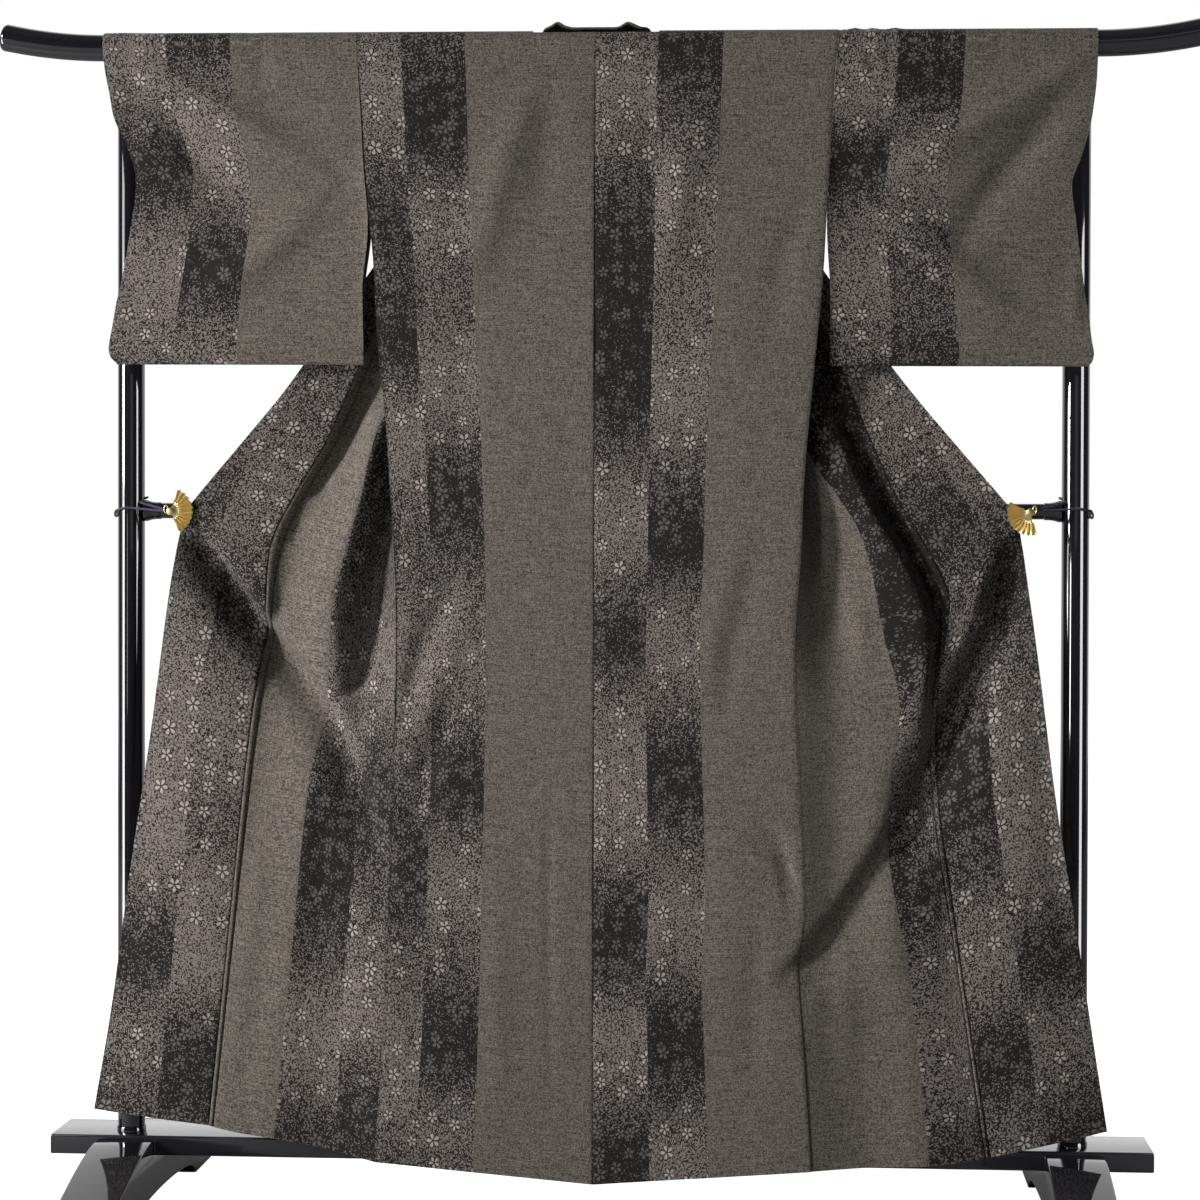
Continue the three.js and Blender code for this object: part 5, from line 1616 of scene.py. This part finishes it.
# ------------------------------------------------------------------ stand
@dataclass
class Stand:
    """Lacquered stand: rod, posts, rail, plank and feet."""

    lacquer: Material
    brushed: Material
    rod_half: float = 839.0
    rod_bend: float = 150.0
    rod_rise: float = 16.5
    rod_tip: float = 0.955
    rod_tip_radius: float = 0.62
    rod_sides: int = 64
    socket_height: float = 8.6
    socket_wall: float = 1.5
    plank_half: float = 776.0
    plank_depth: float = 110.0
    plank_top: float = 112.0
    plank_thick: float = 28.0
    plank_round: float = 3.0
    rail_radius: float = 11.0
    cup_length: float = 24.0
    foot_width: float = 82.0
    foot_edge: float = 2.6
    foot_crest: float = 106.0
    foot_reach: float = 330.0
    foot_shoulder: float = 82.0
    foot_toe: float = 43.0
    foot_fall: float = 1.35
    arch_half: float = 215.0
    arch_height: float = 28.0
    arch_square: float = 0.8

    def rod_ring(self, way: int, share: float) -> Array:
        """One ring of the rod.

        Args:
            way: -1 for the left half, 1 for the right one.
            share: share of the way along the rising end.

        Returns:
            The points of the ring.
        """
        angle = circle(self.rod_sides)
        tip = max((share - self.rod_tip) / (1 - self.rod_tip), 0.0)
        full = math.sqrt(max(1 - tip ** 2, 0.0))
        radius = ROD_RADIUS * (self.rod_tip_radius + (1 - self.rod_tip_radius) * full)
        rise = radius * np.sin(angle)
        x = way * (self.rod_half - self.rod_bend * (1 - share))
        tilt = way * 2 * self.rod_rise * share / self.rod_bend
        return together(x - rise * tilt, ROD_Y + radius * np.cos(angle),
                        ROD_Z + self.rod_rise * share * share + rise)

    def rod(self) -> None:
        """Makes the rod, its ends rising a little and rounded."""
        rounding = np.sin(np.linspace(0, 1, 9)[1:] * math.pi / 2)
        shares = np.concatenate([np.linspace(0, self.rod_tip, 22),
                                 self.rod_tip + (1 - self.rod_tip) * rounding])
        rings = [self.rod_ring(-1, s) for s in shares[::-1]] + [self.rod_ring(1, s) for s in shares]
        faces = ring_faces(len(rings), self.rod_sides)
        obj = new_object("rod_turned", lean(np.concatenate(rings)), faces, self.lacquer, 50.0)
        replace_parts(obj, "rod")

    def upright(self, side: Side) -> None:
        """Makes a post and the ring at its foot.

        Args:
            side: the side that it stands on.
        """
        low, r = self.plank_top + self.socket_height, POST_RADIUS
        shift = np.array([side.sign * POST_X, POST_Y, 0.0])
        post = [(r - 0.6, low), (r, low + 0.6), (r, POST_TOP - 4), (r - 1.0, POST_TOP - 1.4),
                (r - 3.2, POST_TOP)]
        ring = [(r + self.socket_wall, self.plank_top + GAP), (r + self.socket_wall, low - 1.4),
                (r + 0.9, low - GAP), (r - 0.8, low - GAP)]
        for name, node, profile in (("post_turned", "post", post), ("socket_ring", "post_socket", ring)):
            points, faces = lathe(profile)
            obj = new_object(f"{name}_{side.value}", points + shift, faces, self.lacquer)
            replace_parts(obj, f"{node}_{side.value}")

    def rail(self) -> None:
        """Makes the rail and its two flared cups."""
        end = POST_X - POST_RADIUS - GAP
        cup = end - self.cup_length
        turn = np.array(Matrix.Rotation(math.pi / 2, 3, "Y").transposed())
        shift = np.array([0.0, POST_Y, RAIL_Z])
        bar, faces = lathe([(self.rail_radius, -cup + GAP), (self.rail_radius, cup - GAP)])
        obj = new_object("rail_turned", bar @ turn + shift, faces, self.lacquer)
        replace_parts(obj, "rail")
        flare = [(self.rail_radius + 0.4, cup), (self.rail_radius + 1.2, cup + 1.2), (12.0, cup + 7),
                 (13.0, cup + 14), (14.6, cup + 19), (CUP_RADIUS, cup + 21), (CUP_RADIUS, end - 0.6),
                 (CUP_RADIUS - 0.6, end)]
        for side in Side:
            points, faces = lathe(flare)
            points = points @ turn
            if side is Side.LEFT:
                points[:, 0] *= -1
                faces = flipped(faces)
            obj = new_object(f"cup_turned_{side.value}", points + shift, faces, self.lacquer)
            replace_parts(obj, f"rail_cup_{side.value}")

    def plank(self) -> None:
        """Makes the plank, its long edges rounded and its ends eased."""
        y, z, r = self.plank_depth / 2, self.plank_thick / 2, self.plank_round
        corners = ((y - r, z - r, 0), (-y + r, z - r, 90), (-y + r, -z + r, 180), (y - r, -z + r, 270))
        table = np.array([(cy, cz, math.cos(a), math.sin(a)) for cy, cz, first in corners
                          for a in np.radians(np.linspace(first, first + 90, 7))])
        eased = ((0, 1.6), (0.6, 0.5), (2.0, 0.0))
        ends = [(-self.plank_half + back, inset) for back, inset in eased]
        ends += [(self.plank_half - back, inset) for back, inset in reversed(eased)]
        rings = [together(x, table[:, 0] + (r - inset) * table[:, 2],
                          table[:, 1] + (r - inset) * table[:, 3] + self.plank_top - z) for x, inset in ends]
        obj = new_object("plank_planed", np.concatenate(rings), ring_faces(len(rings), len(table)),
                         self.brushed, 30.0)
        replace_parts(obj, "plank")

    def foot_outline(self) -> list[tuple[float, float]]:
        """Outline of a foot from the side.

        Returns:
            (depth, height) of its points, with the seat for the plank and the arch.
        """
        seat, floor = self.plank_depth / 2 + GAP, self.plank_top - self.plank_thick - GAP
        crest, reach, toe = self.foot_crest, self.foot_reach, self.foot_toe
        outer = [(float(mix(self.foot_shoulder, reach, t)),
                  float(crest - (crest - toe) * t ** self.foot_fall)) for t in np.linspace(0, 1, 26)]
        outer += [(reach + 3.5, toe - 3), (reach + 6.5, toe - 8), (reach + 8.5, toe - 15), (reach + 8, 18),
                  (reach + 5.5, 7), (reach + 2.5, 2), (reach - 1, 0)]
        arch = [(self.arch_half * math.cos(a), self.arch_height * math.sin(a) ** self.arch_square)
                for a in np.linspace(0, math.pi, 40)]
        return [(seat, floor), (seat, crest), *outer, *arch, *[(-y, z) for y, z in reversed(outer)],
                (-seat, crest), (-seat, floor)]

    def foot(self, side: Side) -> None:
        """Makes a foot with a seat for the plank, a long falling back and a low arch.

        Args:
            side: the side that it stands on.
        """
        inner = (side.sign * POST_X - self.foot_width / 2) * MM
        shape = bmesh.new()
        ring = [shape.verts.new((inner, y * MM, z * MM)) for y, z in self.foot_outline()]
        made = bmesh.ops.extrude_face_region(shape, geom=[shape.faces.new(ring)])
        moved = [v for v in made["geom"] if isinstance(v, bmesh.types.BMVert)]
        bmesh.ops.translate(shape, vec=(self.foot_width * MM, 0, 0), verts=moved)
        bmesh.ops.recalc_face_normals(shape, faces=shape.faces)
        ends = [f for f in shape.faces if len(f.verts) > 4]
        rims = {e for f in ends for e in f.edges if (e.verts[0].co.z + e.verts[1].co.z) > 0.2 * MM}
        bmesh.ops.bevel(shape, geom=list(rims), offset=self.foot_edge * MM, segments=3, profile=0.5,
                        affect="EDGES", clamp_overlap=True)
        mesh = bpy.data.meshes.new(f"foot_carved_{side.value}")
        shape.to_mesh(mesh)
        shape.free()
        obj = finish_object(f"foot_carved_{side.value}", mesh, self.lacquer, 35.0)
        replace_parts(obj, f"foot_{side.value}")

    def build(self) -> None:
        """Makes every piece and dresses the brackets that stay."""
        self.rod()
        self.rail()
        self.plank()
        for side in Side:
            self.upright(side)
            self.foot(side)
            redress(f"rod_holder_{side.value}", self.lacquer)


# ------------------------------------------------------------------ cords and stitches
def path_curve(name: str, paths: Sequence[Sequence[Point]], closed: bool) -> bpy.types.Curve:
    """Curve through points.

    Args:
        name: name of the curve.
        paths: points of each run, in metres.
        closed: each run joins its own start.

    Returns:
        The curve.
    """
    curve = bpy.data.curves.new(name, "CURVE")
    curve.dimensions = "3D"
    for path in paths:
        spline = curve.splines.new("POLY")
        spline.points.add(len(path) - 1)
        for point, place in zip(spline.points, path):
            point.co = (*place, 1.0)
        spline.use_cyclic_u = closed
    return curve


def rounded_loop(points: Sequence[Point], count: int) -> list[Point]:
    """Smooth loop of many points through a few.

    Args:
        points: the few points.
        count: number of points wanted.

    Returns:
        The points of the loop.
    """
    lap = 3
    p = np.asarray(points, float)
    p = np.concatenate([p[-lap:], p, p[:lap]])
    at = np.concatenate([[0], np.cumsum(np.linalg.norm(np.diff(p, axis=0), axis=1))])
    fine = np.linspace(at[lap], at[-lap], count, endpoint=False)
    return [tuple(row) for row in np.stack([Track(at, p[:, k])(fine) for k in range(3)], axis=1).tolist()]


@dataclass(frozen=True)
class BraidedLoop:
    """Closed cord of twisted strands; lengths in metres."""

    radius: float
    strand: float = 0.45
    heart: float = 0.68
    twist: float = 900.0
    step: float = 0.0006
    strands: int = 3
    sides: int = 24
    points: int = 160

    def build(self, name: str, path: Sequence[Point], material: Material) -> Object:
        """Makes the loop.

        Args:
            name: name of the piece.
            path: a few points of its path, in metres.
            material: its finish.

        Returns:
            The loop's object.
        """
        make = PathTree(f"{name}_nodes")
        size, strand = make.size("Radius", self.radius), make.size("Strand", self.strand)
        twist, step = make.size("Twist", self.twist), make.size("Step", self.step)
        even = make.node("GeometryNodeResampleCurve", {"Curve": make.start.outputs[0], "Length": step},
                         mode="LENGTH")
        turn = make.mul(make.node("GeometryNodeSplineParameter").outputs["Length"], twist)
        tilted = make.node("GeometryNodeSetCurveTilt", {"Curve": even.outputs[0], "Tilt": turn})
        lobe = make.node("GeometryNodeCurvePrimitiveCircle", {"Resolution": self.sides, "Radius": size},
                         mode="RADIUS")
        index = make.node("GeometryNodeInputIndex").outputs[0]
        wave = make.math("ABSOLUTE", make.math("SINE", make.mul(index, self.strands * math.pi / self.sides)))
        grown = make.add(make.mul(wave, strand), self.heart)
        place = make.node("GeometryNodeInputPosition").outputs[0]
        profile = make.node("GeometryNodeSetPosition", {
            "Geometry": lobe.outputs[0], "Position": make.vector_math("SCALE", {0: place, "Scale": grown})})
        cord = make.node("GeometryNodeCurveToMesh", {
            "Curve": tilted.outputs[0], "Profile Curve": profile.outputs[0], "Fill Caps": True})
        make.finish(cord.outputs[0])
        curve = path_curve(name, [rounded_loop(path, self.points)], True)
        return make.bake(name, curve, material, Slot.CORD)


@dataclass
class FanClip:
    """Small folding-fan clip of one side with its cord to the post."""

    side: Side
    gilt: Material
    cord: Material
    pivot: float = 601.0
    up: float = 997.3
    radius: float = 32.0
    hub: float = 9.0
    pleats: int = 10
    pleat_height: float = 1.7
    scallop: float = 1.1
    front: float = -64.4
    leaf_back: float = 1.6
    dome: float = 0.9
    thick: float = 0.7
    ring_radius: float = 4.6
    ring_wire: float = 0.9
    cord_radius: float = 1.5
    knot_radius: float = 1.4
    cord_clear: float = 1.2

    @property
    def spread(self) -> tuple[float, float]:
        """First and last angle in degrees, towards the middle."""
        return (-66.0, 70.0) if self.side is Side.LEFT else (-107.0, 28.0)

    def leaf(self) -> None:
        """Makes the pleated leaf with its smooth heart."""
        first, last = np.radians(self.spread)
        angle = np.linspace(first, last, 4 * self.pleats + 1)
        reach = np.linspace(0, 1, 14)
        ridge = np.abs((np.arange(len(angle)) / 2) % 2 - 1)[None, :]
        high = mix(0.0, self.pleat_height, smooth(reach * 2.2))[:, None]
        scallop = self.scallop * ridge * (reach[:, None] > 0.98)
        radius = mix(self.hub, self.radius, reach)[:, None] - scallop
        middle = self.front + self.leaf_back
        leaf = together(-radius * np.cos(angle), middle - high * (ridge - 0.5) * 2, radius * np.sin(angle))
        inward = np.linspace(0, 1, 5)[:-1]
        heart = mix(0.25, 1, inward)[:, None, None] * leaf[:1]
        heart[..., 1] = middle - self.dome * (1 - inward ** 2)[:, None]
        grid = np.concatenate([heart, leaf])
        grid[..., 0] = self.side.sign * (grid[..., 0] + self.pivot)
        grid[..., 2] += self.up
        keep = np.ones((grid.shape[0] - 1, grid.shape[1] - 1), bool)
        flat = np.zeros(grid.shape[:2] + (2,))
        shell = Shell(f"fan_leaf_{self.side.value}", grid, keep, self.thick, flat, np.zeros_like(grid))
        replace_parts(shell.build(self.gilt, Slot.GILT), f"fan_{self.side.value}")

    def stud(self) -> None:
        """Makes the domed stud on the hub."""
        points, faces = lathe([(5.6, 0.0), (5.6, 1.4), (4.8, 2.3), (3.0, 2.9), (1.2, 3.1)], 40)
        x, y, z = points.T
        shift = np.array([self.side.sign * self.pivot, self.front + 1.2, self.up])
        new_object(f"fan_stud_{self.side.value}", together(x, -z, -y) + shift, flipped(faces),
                   self.gilt)

    def ring(self) -> None:
        """Makes the ring that holds the cord."""
        sides = 10
        rings = []
        for a in circle(36):
            centre = np.array([self.side.sign * (self.pivot + 6.0) + 0.55 * self.ring_radius * math.cos(a),
                               self.front - 0.3, self.up + 3.0 + 1.15 * self.ring_radius * math.sin(a)])
            away = np.array([math.cos(a), 0.0, math.sin(a)])
            back = np.array([0.0, 1.0, 0.0])
            rings.append(np.stack([centre + self.ring_wire * (away * math.cos(b) + back * math.sin(b))
                                   for b in circle(sides)]))
        points = np.concatenate(rings)
        faces = outward(points, np.array(ring_faces(len(rings), sides, True))).tolist()
        new_object(f"cord_ring_{self.side.value}", points, faces, self.gilt)

    def metres(self, path: Sequence[Point]) -> list[Point]:
        """Path of the right side in millimetres, on this side in metres."""
        return [(self.side.sign * x * MM, y * MM, z * MM) for x, y, z in path]

    def tie(self) -> None:
        """Makes the braided cord round the post and its knot."""
        z = self.up
        bend = POST_RADIUS + 1.6 + self.cord_clear
        over = RAIL_Z + CUP_RADIUS + 1.6 + self.cord_clear

        def about(degrees: float, up: float) -> Point:
            """Point on the post's round."""
            a = math.radians(degrees)
            return POST_X + bend * math.cos(a), POST_Y + bend * math.sin(a), up

        path = [(609.2, -63.4, z + 1), (632, -53, z + 2.5), about(-104, z + 5), about(-70, z + 5),
                about(-35, z + 2), about(0, z + 2), about(35, z + 5), about(70, z + 10), about(105, z + 16),
                about(140, over), about(172, over + 1), (652, -31, z + 14.5), (631, -47.5, z + 8),
                (613, -60.4, z + 3.4)]
        loop = BraidedLoop(self.cord_radius * MM)
        obj = loop.build(f"cord_tie_{self.side.value}", self.metres(path), self.cord)
        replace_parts(obj, f"tie_{self.side.value}")
        x, y, up = (685.0, -31.0, z - 3) if self.side is Side.LEFT else (687.0, -30.0, z - 4)
        knot = [(x + 3.06 * math.sin(2 * a), y - 1.68 * math.cos(3 * a), up + 3.6 * math.sin(3 * a + 0.6))
                for a in circle(40)]
        BraidedLoop(self.knot_radius * MM).build(f"cord_knot_{self.side.value}", self.metres(knot), self.cord)

    def build(self) -> None:
        """Makes every piece of the clip and dresses the jaw behind the cloth."""
        self.leaf()
        self.stud()
        self.ring()
        redress(f"fan_clip_{self.side.value}", self.gilt)
        self.tie()


@dataclass
class Sewing:
    """Running stitches of the hems and seams."""

    material: Material
    lift: float = 0.75
    pitch: float = 0.0068
    stitch: float = 0.0022
    thread: float = 0.00028
    hem: float = 12.0
    cuff_hem: float = 7.0
    edge_share: float = 0.93

    def line(self, name: str, paths: Sequence[Sequence[Point]]) -> None:
        """Row of small running stitches along paths.

        Args:
            name: name of the piece.
            paths: runs of points on the cloth, in metres.
        """
        make = PathTree(f"{name}_nodes")
        pitch, long = make.size("Pitch", self.pitch), make.size("Stitch", self.stitch)
        thin = make.size("Thread", self.thread)
        spots = make.node("GeometryNodeCurveToPoints", {"Curve": make.start.outputs[0], "Length": pitch},
                          mode="LENGTH")
        thread = make.node("GeometryNodeMeshCylinder", {"Vertices": 6, "Radius": thin, "Depth": long})
        laid = make.node("GeometryNodeInstanceOnPoints", {
            "Points": spots.outputs["Points"], "Instance": thread.outputs[0],
            "Rotation": spots.outputs["Rotation"]})
        make.finish(laid.outputs[0])
        make.bake(name, path_curve(name, paths, False), self.material, Slot.CLOTH)

    def runs(self, side: Side) -> dict[str, list[list[Point]]]:
        """Paths of the stitches of one half, on the face of the cloth.

        Args:
            side: the half.

        Returns:
            Runs of points in metres for each seam.
        """
        d = Drape(side)
        foot = np.array([LENGTH - self.hem])
        hem_back = d.back(foot, np.linspace(6, SHOULDER - 6, 60))[0]
        hem_front = d.front(foot, np.linspace(NECK + 4, SHOULDER - 8, 60))[0]
        low = d.okumi(foot, np.linspace(0.05, self.edge_share, 30))[0]
        length = np.linspace(COLLAR_END + 10, LENGTH - self.hem - 2, 120)
        free = d.okumi(length, np.array([self.edge_share]))[:, 0]
        drop = np.linspace(30, SLEEVE_CUFF, 50)
        up = ROD_Z - drop
        mouth = track(SLEEVE_MOUTH[:3], 0, 1)(drop)
        cuff = together(side.sign * (d.cuff_out(up) - self.cuff_hem), ROD_Y - mouth - 0.5, up)
        made = {"hem": [hem_back, hem_front, low], "edge": [free], "cuff": [cuff]}
        return {name: [[tuple(p) for p in (lean(run + [0, -self.lift, 0]) * MM).tolist()] for run in group]
                for name, group in made.items()}

    def build(self) -> None:
        """Makes the stitches of both halves."""
        for side in Side:
            for name, group in self.runs(side).items():
                self.line(f"stitches_{name}_{side.value}", group)


# ------------------------------------------------------------------ studio
@dataclass(frozen=True)
class SoftBox:
    """Soft box: where it stands, the point it faces, its width and height, and its power in watts."""

    name: str
    place: Point
    aim: Point
    size: tuple[float, float]
    power: float
    lacquer_only: bool = False
    spread: float = 180.0

    def build(self) -> None:
        """Adds the light, alone on the lacquered stand where asked."""
        data = bpy.data.lights.new(self.name, "AREA")
        data.shape = "RECTANGLE"
        data.size, data.size_y = self.size
        data.energy = self.power
        data.spread = math.radians(self.spread)
        lamp = bpy.data.objects.new(self.name, data)
        lamp.location = self.place
        lamp.rotation_euler = (Vector(self.aim) - Vector(self.place)).to_track_quat("-Z", "Y").to_euler()
        bpy.context.scene.collection.objects.link(lamp)
        if self.lacquer_only:
            lamp.light_linking.receiver_collection = lacquered()


def lacquered() -> bpy.types.Collection:
    """Collection of the lacquered pieces, which two of the soft boxes light alone.

    Returns:
        The collection, made on the first call.
    """
    group = bpy.data.collections.get("lacquered")
    if group is None:
        group = bpy.data.collections.new("lacquered")
        for obj in bpy.context.scene.objects:
            finishes = obj.data.materials if obj.type == "MESH" else ()
            if any(m and "lacquer" in m.name for m in finishes):
                group.objects.link(obj)
    return group


@dataclass
class Studio:
    """White studio with soft boxes and the camera."""

    focal: float = 82.75
    sensor: float = 36.0
    place: Point = (0.2805, -3.9, 0.9329)
    yaw: float = -4.084
    pitch: float = -0.873
    roll: float = 0.136
    floor_half: float = 14.0
    darkest: float = 0.012
    ceiling: float = 0.12
    boxes: tuple[SoftBox, ...] = (
        SoftBox("key_left", (-7.6, -4.3, 3.4), (0.0, 0.0, 0.85), (1.1, 1.3), 830.0),
        SoftBox("near_left", (-1.9, -0.9, 0.8), (-0.45, 0.0, 0.7), (0.3, 1.0), 13.0),
        SoftBox("near_right", (-1.5, -2.3, 1.2), (0.75, 0.0, 0.7), (0.4, 0.6), 1.5, spread=48.0),
        SoftBox("front", (0.6, -4.6, 2.4), (0.0, 0.0, 0.9), (2.0, 1.0), 2.0),
        SoftBox("strip_left", (-2.3, -0.9, 1.0), (-0.6, 0.0, 0.95), (0.75, 2.5), 42.0, True),
        SoftBox("strip_right", (2.3, -1.4, 1.0), (0.6, 0.0, 0.95), (0.85, 2.5), 70.0, True),
    )

    def camera(self) -> None:
        """Sets the camera at the viewing angle."""
        yaw, pitch, roll = (math.radians(v) for v in (self.yaw, self.pitch, self.roll))
        look = Vector((math.sin(yaw) * math.cos(pitch), math.cos(yaw) * math.cos(pitch), math.sin(pitch)))
        right = look.cross(Vector((0, 0, 1))).normalized()
        top = right.cross(look)
        right, top = (right * math.cos(roll) + top * math.sin(roll),
                      -right * math.sin(roll) + top * math.cos(roll))
        data = bpy.data.cameras.new("camera")
        data.lens, data.sensor_width = self.focal, self.sensor
        camera = bpy.data.objects.new("camera", data)
        matrix = Matrix((right, top, -look)).transposed().to_4x4()
        matrix.translation = Vector(self.place)
        camera.matrix_world = matrix
        bpy.context.scene.collection.objects.link(camera)
        bpy.context.scene.camera = camera

    def floor(self) -> None:
        """Lays a plain pale floor."""
        half = self.floor_half
        corners = [(-half, -half, 0), (half, -half, 0), (half, half, 0), (-half, half, 0)]
        mesh = bpy.data.meshes.new("floor")
        mesh.from_pydata(corners, [], [(0, 1, 2, 3)])
        mesh.materials.append(StudioPaper().build())
        floor = bpy.data.objects.new("floor", mesh)
        bpy.context.scene.collection.objects.link(floor)
        floor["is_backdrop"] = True

    def world(self) -> None:
        """White surroundings, darker in front of the object where the lacquer mirrors them."""
        world = bpy.data.worlds.new("studio")
        world.use_nodes = True
        bpy.context.scene.world = world
        net = Net(world.node_tree)
        world.node_tree.nodes.clear()
        _, y, z = net.split(net.node("ShaderNodeTexCoord").outputs["Generated"])
        behind, above = net.ramp(y, 0.28, 0.62), net.ramp(z, 0.55, 0.95, 0.0, self.ceiling)
        level = net.math("MAXIMUM", net.math("MAXIMUM", behind, above), self.darkest)
        seen = net.between(net.node("ShaderNodeLightPath").outputs["Is Camera Ray"], level, 1.0)
        shade = net.node("ShaderNodeBackground", {"Color": (1, 1, 1, 1), "Strength": seen})
        net.node("ShaderNodeOutputWorld", {0: shade.outputs[0]})

    def build(self) -> None:
        """Makes the camera, floor, surroundings and soft boxes."""
        self.camera()
        self.floor()
        self.world()
        for box in self.boxes:
            box.build()
        settings = bpy.context.scene.view_settings
        settings.view_transform = "Standard"
        settings.look = "None"


def main() -> list[list[float]]:
    """Builds the garment on its stand.

    Returns:
        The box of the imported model.
    """
    logging.basicConfig(level=logging.INFO, format="%(message)s")
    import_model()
    box = [list(corner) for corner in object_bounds()]
    cloth = WovenCloth().build()
    gilt = Gilt().build()
    purple = Thread("purple_cord", (0.085, 0.052, 0.135, 1), (0.03, 0.018, 0.055, 1)).build()
    thread = Thread("brown_thread", (0.10, 0.088, 0.076, 1), (0.045, 0.040, 0.034, 1)).build()
    Stand(lacquer=Lacquer().build(), brushed=Lacquer("brushed_lacquer", 0.14, 0.18).build()).build()
    for side in Side:
        half = Half(side, material=cloth)
        half.body()
        half.okumi()
        half.sleeve()
        FanClip(side, gilt=gilt, cord=purple).build()
    Collar(material=cloth).build()
    Sewing(material=thread).build()
    Studio().build()
    return box


if __name__ == "__main__":
    CAD_BOX = main()
